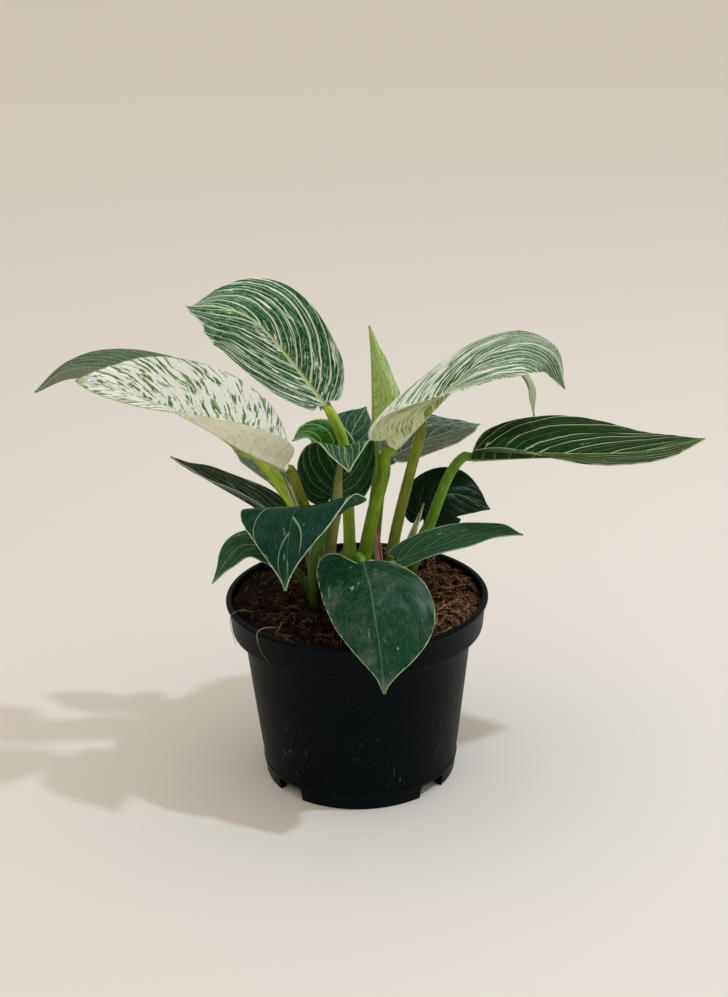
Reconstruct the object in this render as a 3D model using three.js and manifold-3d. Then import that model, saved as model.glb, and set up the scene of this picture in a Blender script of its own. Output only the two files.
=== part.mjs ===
// A variegated philodendron with striped leaves, growing in a round plastic nursery pot.
// Millimetres, +Z up, front toward -Y. The origin is the middle of the pot's underside,
// on the surface that the pot stands on.
//
// Each leaf is two solids: the blade with its midrib underneath, and the petiole that ends at
// the blade's base. Petioles, leaf sheaths and the short stem stand in plain holes in the soil.

import * as THREE from "three";
import { mergeVertices } from "three/addons/utils/BufferGeometryUtils.js";
import Module from "manifold-3d";

const wasm = await Module();
wasm.setup();

// Clearance between pieces that touch on the real plant.
const GAP = 0.3;

// ---------------------------------------------------------------- pot sizes
const POT_HEIGHT = 88;
const RIM_RADIUS = 60;
const RIM_SKIRT_HEIGHT = 15.4;
const RIM_SKIRT_RADIUS = 57.6;
const WALL_TOP_RADIUS = 52.6;
const BASE_RADIUS = 44.4;
const WALL = 1.5;
const LIP = 1.1;
const FLOOR_Z = 3;
const FLOOR_THICKNESS = 1.6;
const FOOT_WIDTH = 3.2;
const CENTRE_PAD_RADIUS = 9;
const NOTCH_WIDTH = 15;
const NOTCH_HEIGHT = 6.4;
const NOTCH_DEPTH = 12;
const NOTCH_INSET = 2;
const NOTCH_ANGLES = [-43, -137, 43, 137];
const POT_SEGMENTS = 44;

// ---------------------------------------------------------------- soil sizes
const SOIL_EDGE_Z = 84;
const SOIL_RINGS = 6;
const SOIL_SEGMENTS = 32;

// ---------------------------------------------------------------- leaf sizes
const BLADE_THICKNESS = 0.8;
const BLADE_ROWS = 12;
const SHEATH_ROWS = 7;
const COLUMNS = [0, 0.08, 0.4, 0.72, 1];
const NOTCH_SHARE = 0.1;
const NOTCH_COLUMN = 0.4;
const LOBE_SPREAD = 0.8;
const BACK_ROWS = 0.3;
const FOLD_ROOM = 0.6;
const STALK_SIDES = 8;
const STALK_STEPS = 9;
const RIDGE_SHARE = 0.75;
const RIDGE_DEPTH = 1.6;
const RIDGE_TAPER = 1.6;
const NECK_DROP = 0.9;
const NECK_GAP = 0.4;
const ROOT_Z = 70;
const HOLE_Z = ROOT_Z - GAP;
const SHEATH_CLEARANCE = 1;
const STEM = { foot: [3, 5], top: [3, 5, 93], radius: 3.8, taper: 0.35 };
const WAXY = 0.42;
const PAPERY = 0.7;

// One half of a blade laid flat: [share of its length, share of its half width], from the
// notch at the petiole, round the lobe and along the margin to the tip.
const HEART = [
  [0, 0.1],
  [-0.07, 0.24],
  [-0.095, 0.5],
  [-0.03, 0.78],
  [0.12, 0.96],
  [0.3, 1],
  [0.5, 0.88],
  [0.68, 0.64],
  [0.82, 0.38],
  [0.92, 0.16],
  [1, 0.015],
];
const LONG = [
  [0, 0.1],
  [-0.035, 0.3],
  [-0.02, 0.58],
  [0.08, 0.84],
  [0.22, 0.98],
  [0.38, 1],
  [0.55, 0.9],
  [0.71, 0.68],
  [0.84, 0.42],
  [0.93, 0.19],
  [1, 0.015],
];
const BROAD = [
  [0, 0.1],
  [-0.02, 0.3],
  [0.02, 0.55],
  [0.12, 0.8],
  [0.28, 0.95],
  [0.46, 1],
  [0.62, 0.94],
  [0.76, 0.75],
  [0.88, 0.45],
  [0.96, 0.18],
  [1, 0.015],
];
const WEDGE = [
  [0, 0.1],
  [0.015, 0.34],
  [0.06, 0.6],
  [0.16, 0.85],
  [0.3, 0.98],
  [0.43, 1],
  [0.58, 0.9],
  [0.73, 0.69],
  [0.85, 0.43],
  [0.94, 0.2],
  [1, 0.015],
];
const SPEAR = [
  [0, 0.1],
  [-0.02, 0.4],
  [0.03, 0.74],
  [0.13, 0.96],
  [0.25, 1],
  [0.4, 0.88],
  [0.55, 0.68],
  [0.7, 0.47],
  [0.83, 0.28],
  [0.93, 0.13],
  [1, 0.015],
];
const FUNNEL_FAR = [
  [0, 0.1],
  [-0.045, 0.3],
  [-0.045, 0.5],
  [0, 0.62],
  [0.1, 0.68],
  [0.26, 0.8],
  [0.46, 0.97],
  [0.63, 1],
  [0.78, 0.88],
  [0.89, 0.58],
  [0.96, 0.26],
  [1, 0.015],
];
const FUNNEL_NEAR = [
  [0, 0.1],
  [-0.03, 0.3],
  [-0.025, 0.56],
  [0.03, 0.8],
  [0.12, 0.95],
  [0.28, 1],
  [0.46, 1],
  [0.6, 0.95],
  [0.72, 0.8],
  [0.82, 0.58],
  [0.92, 0.3],
  [1, 0.015],
];
const SKEWED_FULL = [
  [0, 0.1],
  [-0.005, 0.24],
  [0.03, 0.45],
  [0.115, 0.68],
  [0.24, 0.87],
  [0.4, 0.96],
  [0.56, 0.94],
  [0.69, 0.79],
  [0.79, 0.53],
  [0.87, 0.27],
  [0.94, 0.1],
  [1, 0.015],
];
const SKEWED_SLIM = [
  [0, 0.1],
  [-0.05, 0.2],
  [-0.13, 0.33],
  [-0.17, 0.5],
  [-0.145, 0.65],
  [-0.05, 0.75],
  [0.1, 0.79],
  [0.28, 0.8],
  [0.47, 0.71],
  [0.64, 0.53],
  [0.78, 0.32],
  [0.89, 0.12],
  [1, 0.015],
];
const DRAPED_FULL = [
  [0, 0.1],
  [0.06, 0.25],
  [0.14, 0.51],
  [0.22, 0.79],
  [0.3, 0.97],
  [0.4, 1],
  [0.51, 0.92],
  [0.62, 0.69],
  [0.72, 0.42],
  [0.82, 0.2],
  [0.91, 0.07],
  [1, 0.015],
];
const DRAPED_SLIM = [
  [0, 0.1],
  [0.015, 0.3],
  [0.06, 0.55],
  [0.15, 0.8],
  [0.27, 0.95],
  [0.4, 0.95],
  [0.55, 0.79],
  [0.7, 0.53],
  [0.82, 0.29],
  [0.92, 0.1],
  [1, 0.015],
];

// A leaf sheath opened out: a narrow pointed strip.
const STRIP = [
  [0, 0.3],
  [0, 0.55],
  [0.08, 0.8],
  [0.25, 0.97],
  [0.45, 1],
  [0.63, 0.86],
  [0.8, 0.55],
  [0.92, 0.26],
  [1, 0.04],
];

// How one half of a blade lies, at base, middle and tip, in degrees: how it rises from the
// midrib, how much more it bends up toward its margin, and how it leans toward the tip.
const FLAT = { fold: [0, 0, 0], curl: [0, 0, 0], lean: [0, 0, 0] };

// One leaf: its name, the colours of blade and petiole, the flat outline, half the width, the
// midrib from petiole to tip, the direction that the upper side faces at base, middle and tip,
// how its halves lie, and the petiole's points from the soil up, with its radius at the soil
// and at the blade. Left and right are as seen from the petiole, on the upper side.
const LEAVES = [
  {
    name: "upper_left",
    colors: [0x4f7057, 0x79a43c],
    outline: BROAD,
    halfWidth: 22.5,
    midrib: [[-12, -6, 180], [-27, -4, 201], [-41, -7, 219], [-55, -16, 228], [-68, -28, 232]],
    facing: [[-0.2, -0.8, 0.55], [-0.2, -0.85, 0.5], [-0.25, -0.8, 0.5]],
    left: { ...FLAT, fold: [14, 10, 0], lean: [36, 30, 44] },
    right: { ...FLAT, fold: [5, 0, -55], lean: [5, -10, -50] },
    petiole: [[-3, 9], [-3, 9, 88], [-3, 8, 121], [-4, 2, 157]],
    radius: [3.1, 2.3],
  },
  {
    name: "cream_left",
    colors: [0xc9cdb8, 0x8b8f3b],
    outline: WEDGE,
    halfWidth: 25,
    midrib: [[-30, -18, 158], [-47, -25, 169], [-66, -32, 183], [-88, -40, 197], [-113, -48, 207]],
    facing: [[0, -0.25, 0.97], [0, -0.4, 0.91], [0, -0.5, 0.86]],
    left: { ...FLAT, fold: [58, 46, 5] },
    right: { ...FLAT, fold: [54, 42, 30] },
    petiole: [[-9, -2], [-10, -4, 92], [-15, -9, 115], [-23, -16, 140]],
    radius: [3.1, 2.4],
  },
  {
    name: "far_left",
    colors: [0x53645a, 0x93b53c],
    outline: LONG,
    halfWidth: 22,
    midrib: [[-50, 14, 157], [-73, 10, 174], [-98, 4, 188], [-121, -2, 194], [-138, -6, 189]],
    facing: [[0, -0.1, 1], [0, -0.1, 1], [0, 0, 1]],
    left: { ...FLAT, fold: [38, 38, 40], curl: [14, 14, 10] },
    right: { ...FLAT, fold: [45, 40, 30] },
    petiole: [[-11, 7], [-12, 7, 92], [-19, 8, 112], [-29, 9, 131], [-43, 13, 150]],
    radius: [3.6, 3],
  },
  {
    name: "newest",
    colors: [0xb4c27a, 0x7f9a45],
    outline: SPEAR,
    halfWidth: 11.5,
    midrib: [[11, 16, 164], [10, 17, 177], [9, 18, 192], [8, 18, 209]],
    facing: [[0.95, -0.3, 0.1], [0.95, -0.3, 0.1], [0.95, -0.3, 0.1]],
    left: { ...FLAT, fold: [60, 60, 50] },
    right: { ...FLAT, fold: [60, 60, 50] },
    petiole: [[7, -3], [7, -2, 95], [7, 4, 118], [10, 12, 142]],
    radius: [2.8, 1.6],
  },
  {
    name: "arched_right",
    colors: [0x9fae93, 0x6c8f35],
    outline: FUNNEL_FAR,
    halfWidth: 18.5,
    midrib: [[16, -12, 164], [31, -8, 177], [47, -2, 190], [61, 4, 199], [77, 9, 202], [90, 12, 195],
      [95, 14, 179]],
    facing: [[-0.65, -0.1, 0.75], [-0.3, -0.7, 0.7], [0.3, -0.8, 0.4]],
    left: { ...FLAT, fold: [72, -29, -60] },
    right: { ...FLAT, outline: FUNNEL_NEAR, fold: [75, 24, -10], lean: [0, -10, 10] },
    petiole: [[-1, -9], [0, -9, 92], [3, -9, 107], [8, -10, 131], [13, -12, 150]],
    radius: [3.8, 2.7],
  },
  {
    name: "drooping_right",
    colors: [0x9fae7f, 0x93993f],
    outline: LONG,
    halfWidth: 9,
    midrib: [[33, 16, 171.5], [46, 23, 182], [61, 31, 185.5], [73.5, 37, 182], [81.5, 41, 172], [84, 42, 157]],
    facing: [[-0.5, 0, 0.85], [0.2, -0.2, 1], [0.75, -0.6, 0.2]],
    left: { ...FLAT, fold: [10, 4, 10] },
    right: { ...FLAT, fold: [80, 36, 10] },
    petiole: [[13, 2], [14, 3, 90], [18, 4, 115], [25, 7, 143], [30, 11, 160]],
    radius: [3, 2.3],
  },
  {
    name: "right",
    colors: [0x2c4a24, 0x5f8f2a],
    outline: WEDGE,
    halfWidth: 24,
    midrib: [[54, 10, 151], [79, 8, 151], [106, 5, 151], [131, 2, 153], [156, 0, 159]],
    facing: [[0, 0, 1], [0, 0, 1], [0, 0, 1]],
    left: { ...FLAT, fold: [24, 20, 4], curl: [10, 8, 4] },
    right: { ...FLAT, fold: [32, 10, -5] },
    petiole: [[20, 0], [22, 1, 90], [26, 3, 100], [33, 5, 117], [42, 8, 140]],
    radius: [3, 2.3],
  },
  {
    name: "cupped_centre",
    colors: [0x1f3d24, 0x7c7f3a],
    outline: HEART,
    halfWidth: 18.5,
    midrib: [[-8, -14, 139], [-7, -15, 151], [-5, -19, 163], [-4, -27, 168], [-2, -36, 160]],
    facing: [[0, 0.95, 0.3], [0, 0.7, 0.7], [0, -0.5, 0.85]],
    left: { ...FLAT, fold: [30, 20, 0] },
    right: { ...FLAT, fold: [20, 12, 0] },
    petiole: [[-11, -16], [-12, -16, 92], [-12, -17, 111], [-10, -17, 126]],
    radius: [3.4, 2.4],
  },
  {
    name: "front_left",
    colors: [0x254a42, 0x4a6b2c],
    outline: DRAPED_FULL,
    halfWidth: 28.5,
    midrib: [[-15, -23, 132], [-19, -29, 141], [-25, -41, 145], [-28, -51, 136], [-30, -57, 115]],
    facing: [[-0.1, -0.1, 1], [-0.38, -0.5, 0.8], [-0.2, -0.95, 0.3]],
    left: { ...FLAT, fold: [12, 0, -10], lean: [-5, -20, -10] },
    right: { ...FLAT, outline: DRAPED_SLIM, fold: [-6, 3, 0] },
    petiole: [[-18, -11], [-19, -13, 93], [-19, -19, 112]],
    radius: [2.6, 2],
  },
  {
    name: "front",
    colors: [0x23483f, 0x6f9a3a],
    outline: SKEWED_FULL,
    halfWidth: 27,
    midrib: [[3, -34, 118], [6, -50, 112.5], [8, -61.5, 101.5], [10, -68.5, 88], [11, -72, 73]],
    facing: [[0.25, -0.6, 0.8], [0.2, -0.85, 0.5], [0, -0.8, 0.6]],
    left: { ...FLAT, fold: [5, 8, 0], curl: [0, -12, -10] },
    right: { ...FLAT, outline: SKEWED_SLIM, fold: [-25, -34, -15] },
    petiole: [[2, -16], [1, -17, 92], [0, -20, 104], [0.5, -26, 116]],
    radius: [2.5, 2],
  },
  {
    name: "small_centre_left",
    colors: [0x3f7a2c, 0x6f8f35],
    outline: HEART,
    halfWidth: 13,
    midrib: [[-8, 14, 145], [-14, 12, 155], [-22, 4, 163], [-27, 0, 162]],
    facing: [[-0.3, -0.8, 0.5], [-0.3, -0.7, 0.7], [-0.6, -0.3, 0.7]],
    left: { ...FLAT, fold: [5, 5, 0] },
    right: { ...FLAT, fold: [5, 5, 0] },
    petiole: [[-14, 14], [-13, 14, 92], [-11, 15, 120]],
    radius: [2.4, 1.8],
  },
  {
    name: "centre_back",
    colors: [0x3b5a50, 0x6f8f35],
    outline: HEART,
    halfWidth: 16,
    midrib: [[-7, 24, 140], [-4, 27, 148], [0, 32, 156], [6, 40, 164]],
    facing: [[0, -0.8, 0.6], [0, -0.8, 0.6], [0, -0.8, 0.6]],
    left: { ...FLAT, fold: [10, 10, 0] },
    right: { ...FLAT, fold: [10, 10, 0] },
    petiole: [[0, 17], [-1, 18, 92], [-4, 21, 118]],
    radius: [2.4, 1.8],
  },
  {
    name: "back_right",
    colors: [0x3f5550, 0x6f8f35],
    outline: LONG,
    halfWidth: 15,
    midrib: [[17, 28, 143], [33, 40, 147], [48, 50, 148], [60, 58, 148]],
    facing: [[0, -0.1, 1], [0, -0.1, 1], [0, -0.1, 1]],
    left: { ...FLAT, fold: [24, 24, 8], curl: [12, 12, 6] },
    right: { ...FLAT, fold: [10, 5, 0] },
    petiole: [[6, 12], [8, 14, 95], [11, 22, 122]],
    radius: [2.5, 1.9],
  },
  {
    name: "low_left",
    colors: [0x2f5542, 0x4a6b2c],
    outline: HEART,
    halfWidth: 10,
    midrib: [[-32, -14, 111], [-41, -18, 119], [-52, -24, 121], [-63, -32, 108]],
    facing: [[0, -0.3, 0.9], [-0.3, -0.5, 0.8], [-0.7, -0.5, 0.4]],
    left: { ...FLAT, fold: [0, 0, 0] },
    right: { ...FLAT, fold: [0, 0, 0] },
    petiole: [[-20, -5], [-21, -6, 90], [-26, -11, 103]],
    radius: [2.2, 1.7],
  },
  {
    name: "thin_left",
    colors: [0x2e4238, 0x4a6b2c],
    outline: LONG,
    halfWidth: 10,
    midrib: [[-27, 14, 114], [-43, 14, 125], [-60, 10, 137], [-74, 7, 147], [-82, 5, 154]],
    facing: [[0, 0, 1], [0, 0, 1], [0, 0, 1]],
    left: { ...FLAT, fold: [20, 20, 10] },
    right: { ...FLAT, fold: [42, 42, 34], curl: [14, 14, 10] },
    petiole: [[-19, 2], [-20, 5, 92], [-22, 10, 103]],
    radius: [2.2, 1.7],
  },
  {
    name: "back_left",
    colors: [0x5a6862, 0x6f8f35],
    outline: LONG,
    halfWidth: 10,
    midrib: [[-33, 34, 126], [-43, 37, 133], [-50, 40, 138], [-57, 43, 144]],
    facing: [[0, 0, 1], [0, 0, 1], [0, 0, 1]],
    left: { ...FLAT, fold: [20, 20, 10] },
    right: { ...FLAT, fold: [20, 20, 10] },
    petiole: [[-8, 17], [-9, 18, 92], [-17, 24, 112]],
    radius: [2.1, 1.6],
  },
  {
    name: "round_back_right",
    colors: [0x14251c, 0x4a6b2c],
    outline: HEART,
    halfWidth: 15,
    midrib: [[34, 36, 108], [38, 40, 116], [48, 44, 118], [64, 44, 110]],
    facing: [[-0.1, -0.8, 0.5], [0.1, -0.8, 0.6], [0.3, -0.8, 0.5]],
    left: { ...FLAT, fold: [0, 0, 0] },
    right: { ...FLAT, fold: [0, 0, 0] },
    petiole: [[14, 11], [17, 16, 88], [26, 29, 96]],
    radius: [2.3, 1.8],
  },
  {
    name: "low_right",
    colors: [0x2c4a40, 0x5f8f2a],
    outline: LONG,
    halfWidth: 9,
    midrib: [[18, -12, 108], [33, -10, 113], [51, -8, 117], [65, -8, 120], [75, -8, 118]],
    facing: [[0, -0.5, 0.85], [0, -0.4, 0.9], [0, -0.4, 0.9]],
    left: { ...FLAT, fold: [14, 14, 6], curl: [12, 12, 8] },
    right: { ...FLAT, fold: [25, 25, 0] },
    petiole: [[11, -10], [12, -11, 92]],
    radius: [2.2, 1.7],
  },
];

// The dried or half-open sheaths of earlier leaves: narrow blades that rise from the soil.
const SHEATHS = [
  {
    name: "dried",
    color: 0xc08a6a,
    halfWidth: 2.6,
    midrib: [[13, -5, 71], [12.5, -5, 92], [11, -4, 108], [9, -4, 130]],
    facing: [[-0.6, 0.7, 0], [-0.6, 0.7, 0], [-0.6, 0.7, 0]],
    fold: 35,
  },
  {
    name: "pale",
    color: 0xb9bf8a,
    halfWidth: 2.6,
    midrib: [[17, -5, 71], [18, -4, 90], [22, -1.5, 106], [27, -0.5, 120], [31, 0, 131]],
    facing: [[0.3, 0.9, 0], [0.3, 0.9, 0], [0.3, 0.9, 0]],
    fold: 25,
  },
  {
    name: "streaked",
    color: 0xb4c28f,
    halfWidth: 4,
    midrib: [[-15, 0, 71], [-16, 0, 92], [-20, 0, 112], [-26, 0, 130], [-32, 0, 147]],
    facing: [[1, 0.1, 0], [0.3, 0.9, 0.2], [0, 0.9, 0.3]],
    fold: 25,
  },
  {
    name: "curled",
    color: 0x3c5a33,
    halfWidth: 3,
    midrib: [[-6, -24, 71], [-9, -24, 92], [-10, -25, 105], [-8, -26, 115], [-4, -27, 123]],
    facing: [[0, 1, 0], [0, 1, 0], [0.1, 1, 0]],
    fold: 20,
  },
];

// ---------------------------------------------------------------- shared geometry

const spline = (points) =>
  new THREE.CatmullRomCurve3(points.map(([x, y, z]) => new THREE.Vector3(x, y, z)), false, "catmullrom", 0.5);

// The value at t of the smooth curve through three values at 0, 1/2 and 1.
function through([a, b, c], t) {
  return a * (2 * t - 1) * (t - 1) + b * 4 * t * (1 - t) + c * t * (2 * t - 1);
}

function solidOf(geometry) {
  const bare = geometry.clone();
  bare.deleteAttribute("normal");
  bare.deleteAttribute("uv");
  const merged = mergeVertices(bare, 1e-4);
  return new wasm.Manifold(
    new wasm.Mesh({
      numProp: 3,
      vertProperties: new Float32Array(merged.attributes.position.array),
      triVerts: new Uint32Array(merged.index.array),
    }),
  );
}

function geometryOf(solid) {
  const mesh = solid.getMesh();
  const geometry = new THREE.BufferGeometry();
  geometry.setAttribute("position", new THREE.BufferAttribute(new Float32Array(mesh.vertProperties), 3));
  geometry.setIndex(new THREE.BufferAttribute(new Uint32Array(mesh.triVerts), 1));
  return geometry;
}

// A round stalk along a curve, with its own radius at each share of the way.
function stalkGeometry(curve, radiusAt, steps = STALK_STEPS) {
  const geometry = new THREE.CylinderGeometry(1, 1, 1, STALK_SIDES, steps);
  const frames = curve.computeFrenetFrames(steps, false);
  const position = geometry.attributes.position;
  for (let i = 0; i < position.count; i++) {
    const step = Math.round((position.getY(i) + 0.5) * steps);
    const radius = radiusAt(step / steps);
    const point = curve.getPointAt(step / steps);
    point.addScaledVector(frames.normals[step], position.getX(i) * radius);
    point.addScaledVector(frames.binormals[step], -position.getZ(i) * radius);
    position.setXYZ(i, point.x, point.y, point.z);
  }
  return geometry;
}

// ---------------------------------------------------------------- leaf geometry

// Midrib point, tangent, upper side and right-hand direction at a share of the blade's length.
function frameOf(leaf, share) {
  const curve = leaf.curve;
  const at = THREE.MathUtils.clamp(share, 0, 1);
  const tangent = curve.getTangentAt(at);
  const point = curve.getPointAt(at).addScaledVector(tangent, Math.min(share, 0) * curve.getLength());
  const upper = new THREE.Vector3(
    ...[0, 1, 2].map((axis) => through(leaf.facing.map((direction) => direction[axis]), at)),
  );
  upper.addScaledVector(tangent, -upper.dot(tangent)).normalize();
  const right = new THREE.Vector3().crossVectors(tangent, upper);
  return { at, point, tangent, upper, right };
}

// The blade's point for a share of its length and a distance across from the midrib, positive
// to the right, and how far it lies aside from the midrib. Each half is an arc that leaves the
// midrib at its fold angle.
function bladePoint(leaf, share, across) {
  const { at, point, tangent, upper, right } = frameOf(leaf, share);
  const half = across < 0 ? leaf.left : leaf.right;
  const reach = Math.abs(across);
  const fold = THREE.MathUtils.degToRad(through(half.fold, at));
  const bend = THREE.MathUtils.degToRad(through(half.curl, at)) / leaf.halfWidth;
  const lean = THREE.MathUtils.degToRad(through(half.lean, at));
  let out = reach * Math.cos(fold);
  let rise = reach * Math.sin(fold);
  if (Math.abs(bend) > 1e-6) {
    out = (Math.sin(fold + bend * reach) - Math.sin(fold)) / bend;
    rise = (Math.cos(fold) - Math.cos(fold + bend * reach)) / bend;
  }
  const outward = right.multiplyScalar(Math.sign(across));
  const aside = out * Math.cos(lean);
  point.addScaledVector(outward, aside).addScaledVector(tangent, out * Math.sin(lean));
  return { point: point.addScaledVector(upper, rise), outward, aside };
}

// Where the lateral vein of one row starts on the midrib, and how it sweeps forward.
const VEIN_START = 1.7;
const VEIN_SWEEP = 0.55;

// How far the midrib stands out under the blade at a share of its length.
function ridgeDepth(leaf, share) {
  return RIDGE_DEPTH * leaf.radius[1] * Math.max(0, 1 - share / RIDGE_SHARE) ** RIDGE_TAPER;
}

// The lines that the rows of a blade follow, laid flat: each leaves the midrib with a lateral
// vein and sweeps forward to the margin. The first one follows the notch and the back of the
// lobe, and the next ones turn out of it. [share of length, share of half width] at t and q.
function veinLines(leaf, shape) {
  const notch = Math.max(NOTCH_SHARE, (leaf.radius[1] + 2 * GAP) / leaf.halfWidth);
  const margin = shape.slice(1).map(([share, width]) =>
    share < 0 ? [share, Math.max(width, notch + LOBE_SPREAD * (width - NOTCH_SHARE))] : [share, width],
  );
  const outline = spline([[0, notch], ...margin].map(([share, width]) => [share, width, 0]));
  const samples = outline.getSpacedPoints(200).map((point) => point.x);
  const back = samples.indexOf(Math.min(...samples)) / 200;
  const swept = (start, end, q) => [
    start + (end.x - start) * q * (1 - VEIN_SWEEP + VEIN_SWEEP * q),
    end.y * q,
  ];
  const backEdge = (q) => {
    if (q <= NOTCH_COLUMN) return [0, (notch * q) / NOTCH_COLUMN];
    const { x, y } = outline.getPointAt((back * (q - NOTCH_COLUMN)) / (1 - NOTCH_COLUMN));
    return [x, y];
  };
  return (t, q) => {
    const line = swept(t ** VEIN_START, outline.getPointAt(back + (1 - back) * t), q);
    const first = swept(0, outline.getPointAt(back), q);
    const turn = Math.max(0, 1 - t / BACK_ROWS);
    return line.map((value, axis) => value + turn * (backEdge(q)[axis] - first[axis]));
  };
}

// A closed thin blade with a midrib ridge underneath. Its rows follow the lateral veins. Both
// faces are split into triangles alike, and neither face is pushed across a folded midrib.
function bladeGeometry(leaf, rows = BLADE_ROWS) {
  const left = veinLines(leaf, leaf.left.outline ?? leaf.outline);
  const right = veinLines(leaf, leaf.right.outline ?? leaf.outline);
  const sides = [...COLUMNS.slice(1).reverse().map((q) => -q), ...COLUMNS];
  const middle = [];
  const depths = [];
  for (let row = 0; row <= rows; row++) {
    middle.push(
      sides.map((side) => {
        const veins = side < 0 ? left : right;
        const [share, width] = veins(row / rows, Math.abs(side));
        return bladePoint(leaf, share, Math.sign(side) * width * leaf.halfWidth);
      }),
    );
    depths.push(ridgeDepth(leaf, (row / rows) ** VEIN_START));
  }

  const last = sides.length - 1;
  const upperSide = [];
  const lowerSide = [];
  const alongRow = new THREE.Vector3();
  const alongRib = new THREE.Vector3();
  const pushed = ({ point, outward, aside }, normal, distance) => {
    const shift = normal.clone().multiplyScalar(distance);
    const across = -shift.dot(outward) - FOLD_ROOM * aside;
    return shift.addScaledVector(outward, Math.max(0, across)).add(point);
  };
  middle.forEach((line, row) =>
    line.forEach((place, column) => {
      alongRow.subVectors(
        line[Math.min(column + 1, last)].point,
        line[Math.max(column - 1, 0)].point,
      );
      alongRib.subVectors(
        middle[Math.min(row + 1, rows)][column].point,
        middle[Math.max(row - 1, 0)][column].point,
      );
      const normal = new THREE.Vector3().crossVectors(alongRow, alongRib).normalize();
      const ridge = sides[column] === 0 ? depths[row] : 0;
      upperSide.push(pushed(place, normal, BLADE_THICKNESS / 2));
      lowerSide.push(pushed(place, normal, -BLADE_THICKNESS / 2 - ridge));
    }),
  );

  const count = upperSide.length;
  const vertex = (row, column) => row * sides.length + column;
  const index = [];
  const facet = (a, b, c) => index.push(a, b, c, count + a, count + c, count + b);
  const edge = (a, b) => index.push(b, a, count + a, b, count + a, count + b);
  for (let row = 0; row < rows; row++) {
    for (let column = 0; column < last; column++) {
      const a = vertex(row, column);
      const b = vertex(row, column + 1);
      const c = vertex(row + 1, column);
      const d = vertex(row + 1, column + 1);
      if (sides[column] < 0) {
        facet(a, b, c);
        facet(b, d, c);
      } else {
        facet(a, b, d);
        facet(a, d, c);
      }
    }
    edge(vertex(row, last), vertex(row + 1, last));
    edge(vertex(row + 1, 0), vertex(row, 0));
  }
  for (let column = 0; column < last; column++) {
    edge(vertex(0, column), vertex(0, column + 1));
    edge(vertex(rows, column + 1), vertex(rows, column));
  }
  const geometry = new THREE.BufferGeometry().setFromPoints([...upperSide, ...lowerSide]);
  geometry.setIndex(index);
  return geometry;
}

// The petiole's curve from its root in the soil to the end of the blade's midrib ridge.
function petiolePath(leaf, rootZ) {
  const [[rootX, rootY], ...between] = leaf.petiole;
  const neck = leaf.radius[1];
  const { point, tangent, upper } = frameOf(leaf, 0);
  const end = point.clone().addScaledVector(upper, -NECK_DROP * neck);
  end.addScaledVector(tangent, -NECK_GAP);
  const before = end.clone().addScaledVector(tangent, -2 * neck);
  return spline([[rootX, rootY, rootZ], ...between, before.toArray(), end.toArray()]);
}

function petioleRadius(leaf, extra) {
  const [foot, neck] = leaf.radius;
  return (share) => THREE.MathUtils.lerp(foot, neck, share) + extra;
}

// ---------------------------------------------------------------- pot

function lathe(profile, segments) {
  const points = profile.map(([radius, z]) => new THREE.Vector2(radius, z));
  return new THREE.LatheGeometry(points, segments).rotateX(Math.PI / 2);
}

// Sizes that follow from the ones above.
const skirtZ = POT_HEIGHT - RIM_SKIRT_HEIGHT;
const footInner = BASE_RADIUS - FOOT_WIDTH;
const floorTop = FLOOR_Z + FLOOR_THICKNESS;
const outerRadius = (z) => THREE.MathUtils.lerp(BASE_RADIUS, WALL_TOP_RADIUS, z / skirtZ);
const innerRadius = (z) => outerRadius(z) - WALL;

// Half section from the middle of the underside, round the foot and the rim, to the middle
// of the inside floor.
const potProfile = [
  [0, 0],
  [CENTRE_PAD_RADIUS, 0],
  [CENTRE_PAD_RADIUS + 1, FLOOR_Z],
  [footInner - 0.5, FLOOR_Z],
  [footInner, 0],
  [BASE_RADIUS - 0.5, 0],
  [BASE_RADIUS, 0.6],
  [outerRadius(8) + 0.25, 8],
  [outerRadius(8.6) - 0.05, 8.6],
  [outerRadius(skirtZ - 0.8), skirtZ - 0.8],
  [RIM_SKIRT_RADIUS - 1.2, skirtZ],
  [RIM_SKIRT_RADIUS, skirtZ + 0.9],
  [RIM_RADIUS - LIP, POT_HEIGHT - 2.6],
  [RIM_RADIUS, POT_HEIGHT - 1.9],
  [RIM_RADIUS, POT_HEIGHT - 0.6],
  [RIM_RADIUS - 0.7, POT_HEIGHT],
  [RIM_RADIUS - LIP - WALL + 0.6, POT_HEIGHT],
  [RIM_RADIUS - LIP - WALL, POT_HEIGHT - 0.8],
  [RIM_SKIRT_RADIUS - WALL, skirtZ + 3],
  [innerRadius(skirtZ), skirtZ + 1.4],
  [innerRadius(floorTop + 3), floorTop + 3],
  [innerRadius(floorTop + 3) - 3, floorTop],
  [0, floorTop],
];

function potGeometry() {
  let pot = solidOf(lathe(potProfile, POT_SEGMENTS));
  for (const angle of NOTCH_ANGLES) {
    const cutter = new THREE.BoxGeometry(NOTCH_DEPTH, NOTCH_WIDTH, 2 * NOTCH_HEIGHT);
    cutter.translate(footInner - NOTCH_INSET + NOTCH_DEPTH / 2, 0, 0);
    cutter.rotateZ(THREE.MathUtils.degToRad(angle));
    pot = pot.subtract(solidOf(cutter));
  }
  return geometryOf(pot);
}

// ---------------------------------------------------------------- soil

// Height of the soil over its edge: a low dome, a heap at the back right, and lumps.
function soilHeight(x, y) {
  const radius = Math.hypot(x, y);
  const dome = 2.5 * (1 - (radius / RIM_RADIUS) ** 2);
  const heap = 5 * Math.exp(-((x - 22) ** 2 + (y - 40) ** 2) / 400);
  const lumps = 0.7 * Math.sin(0.33 * x + 0.4) * Math.cos(0.29 * y) + 0.4 * Math.sin(0.61 * x - 0.53 * y);
  return dome + heap + lumps;
}

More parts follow.
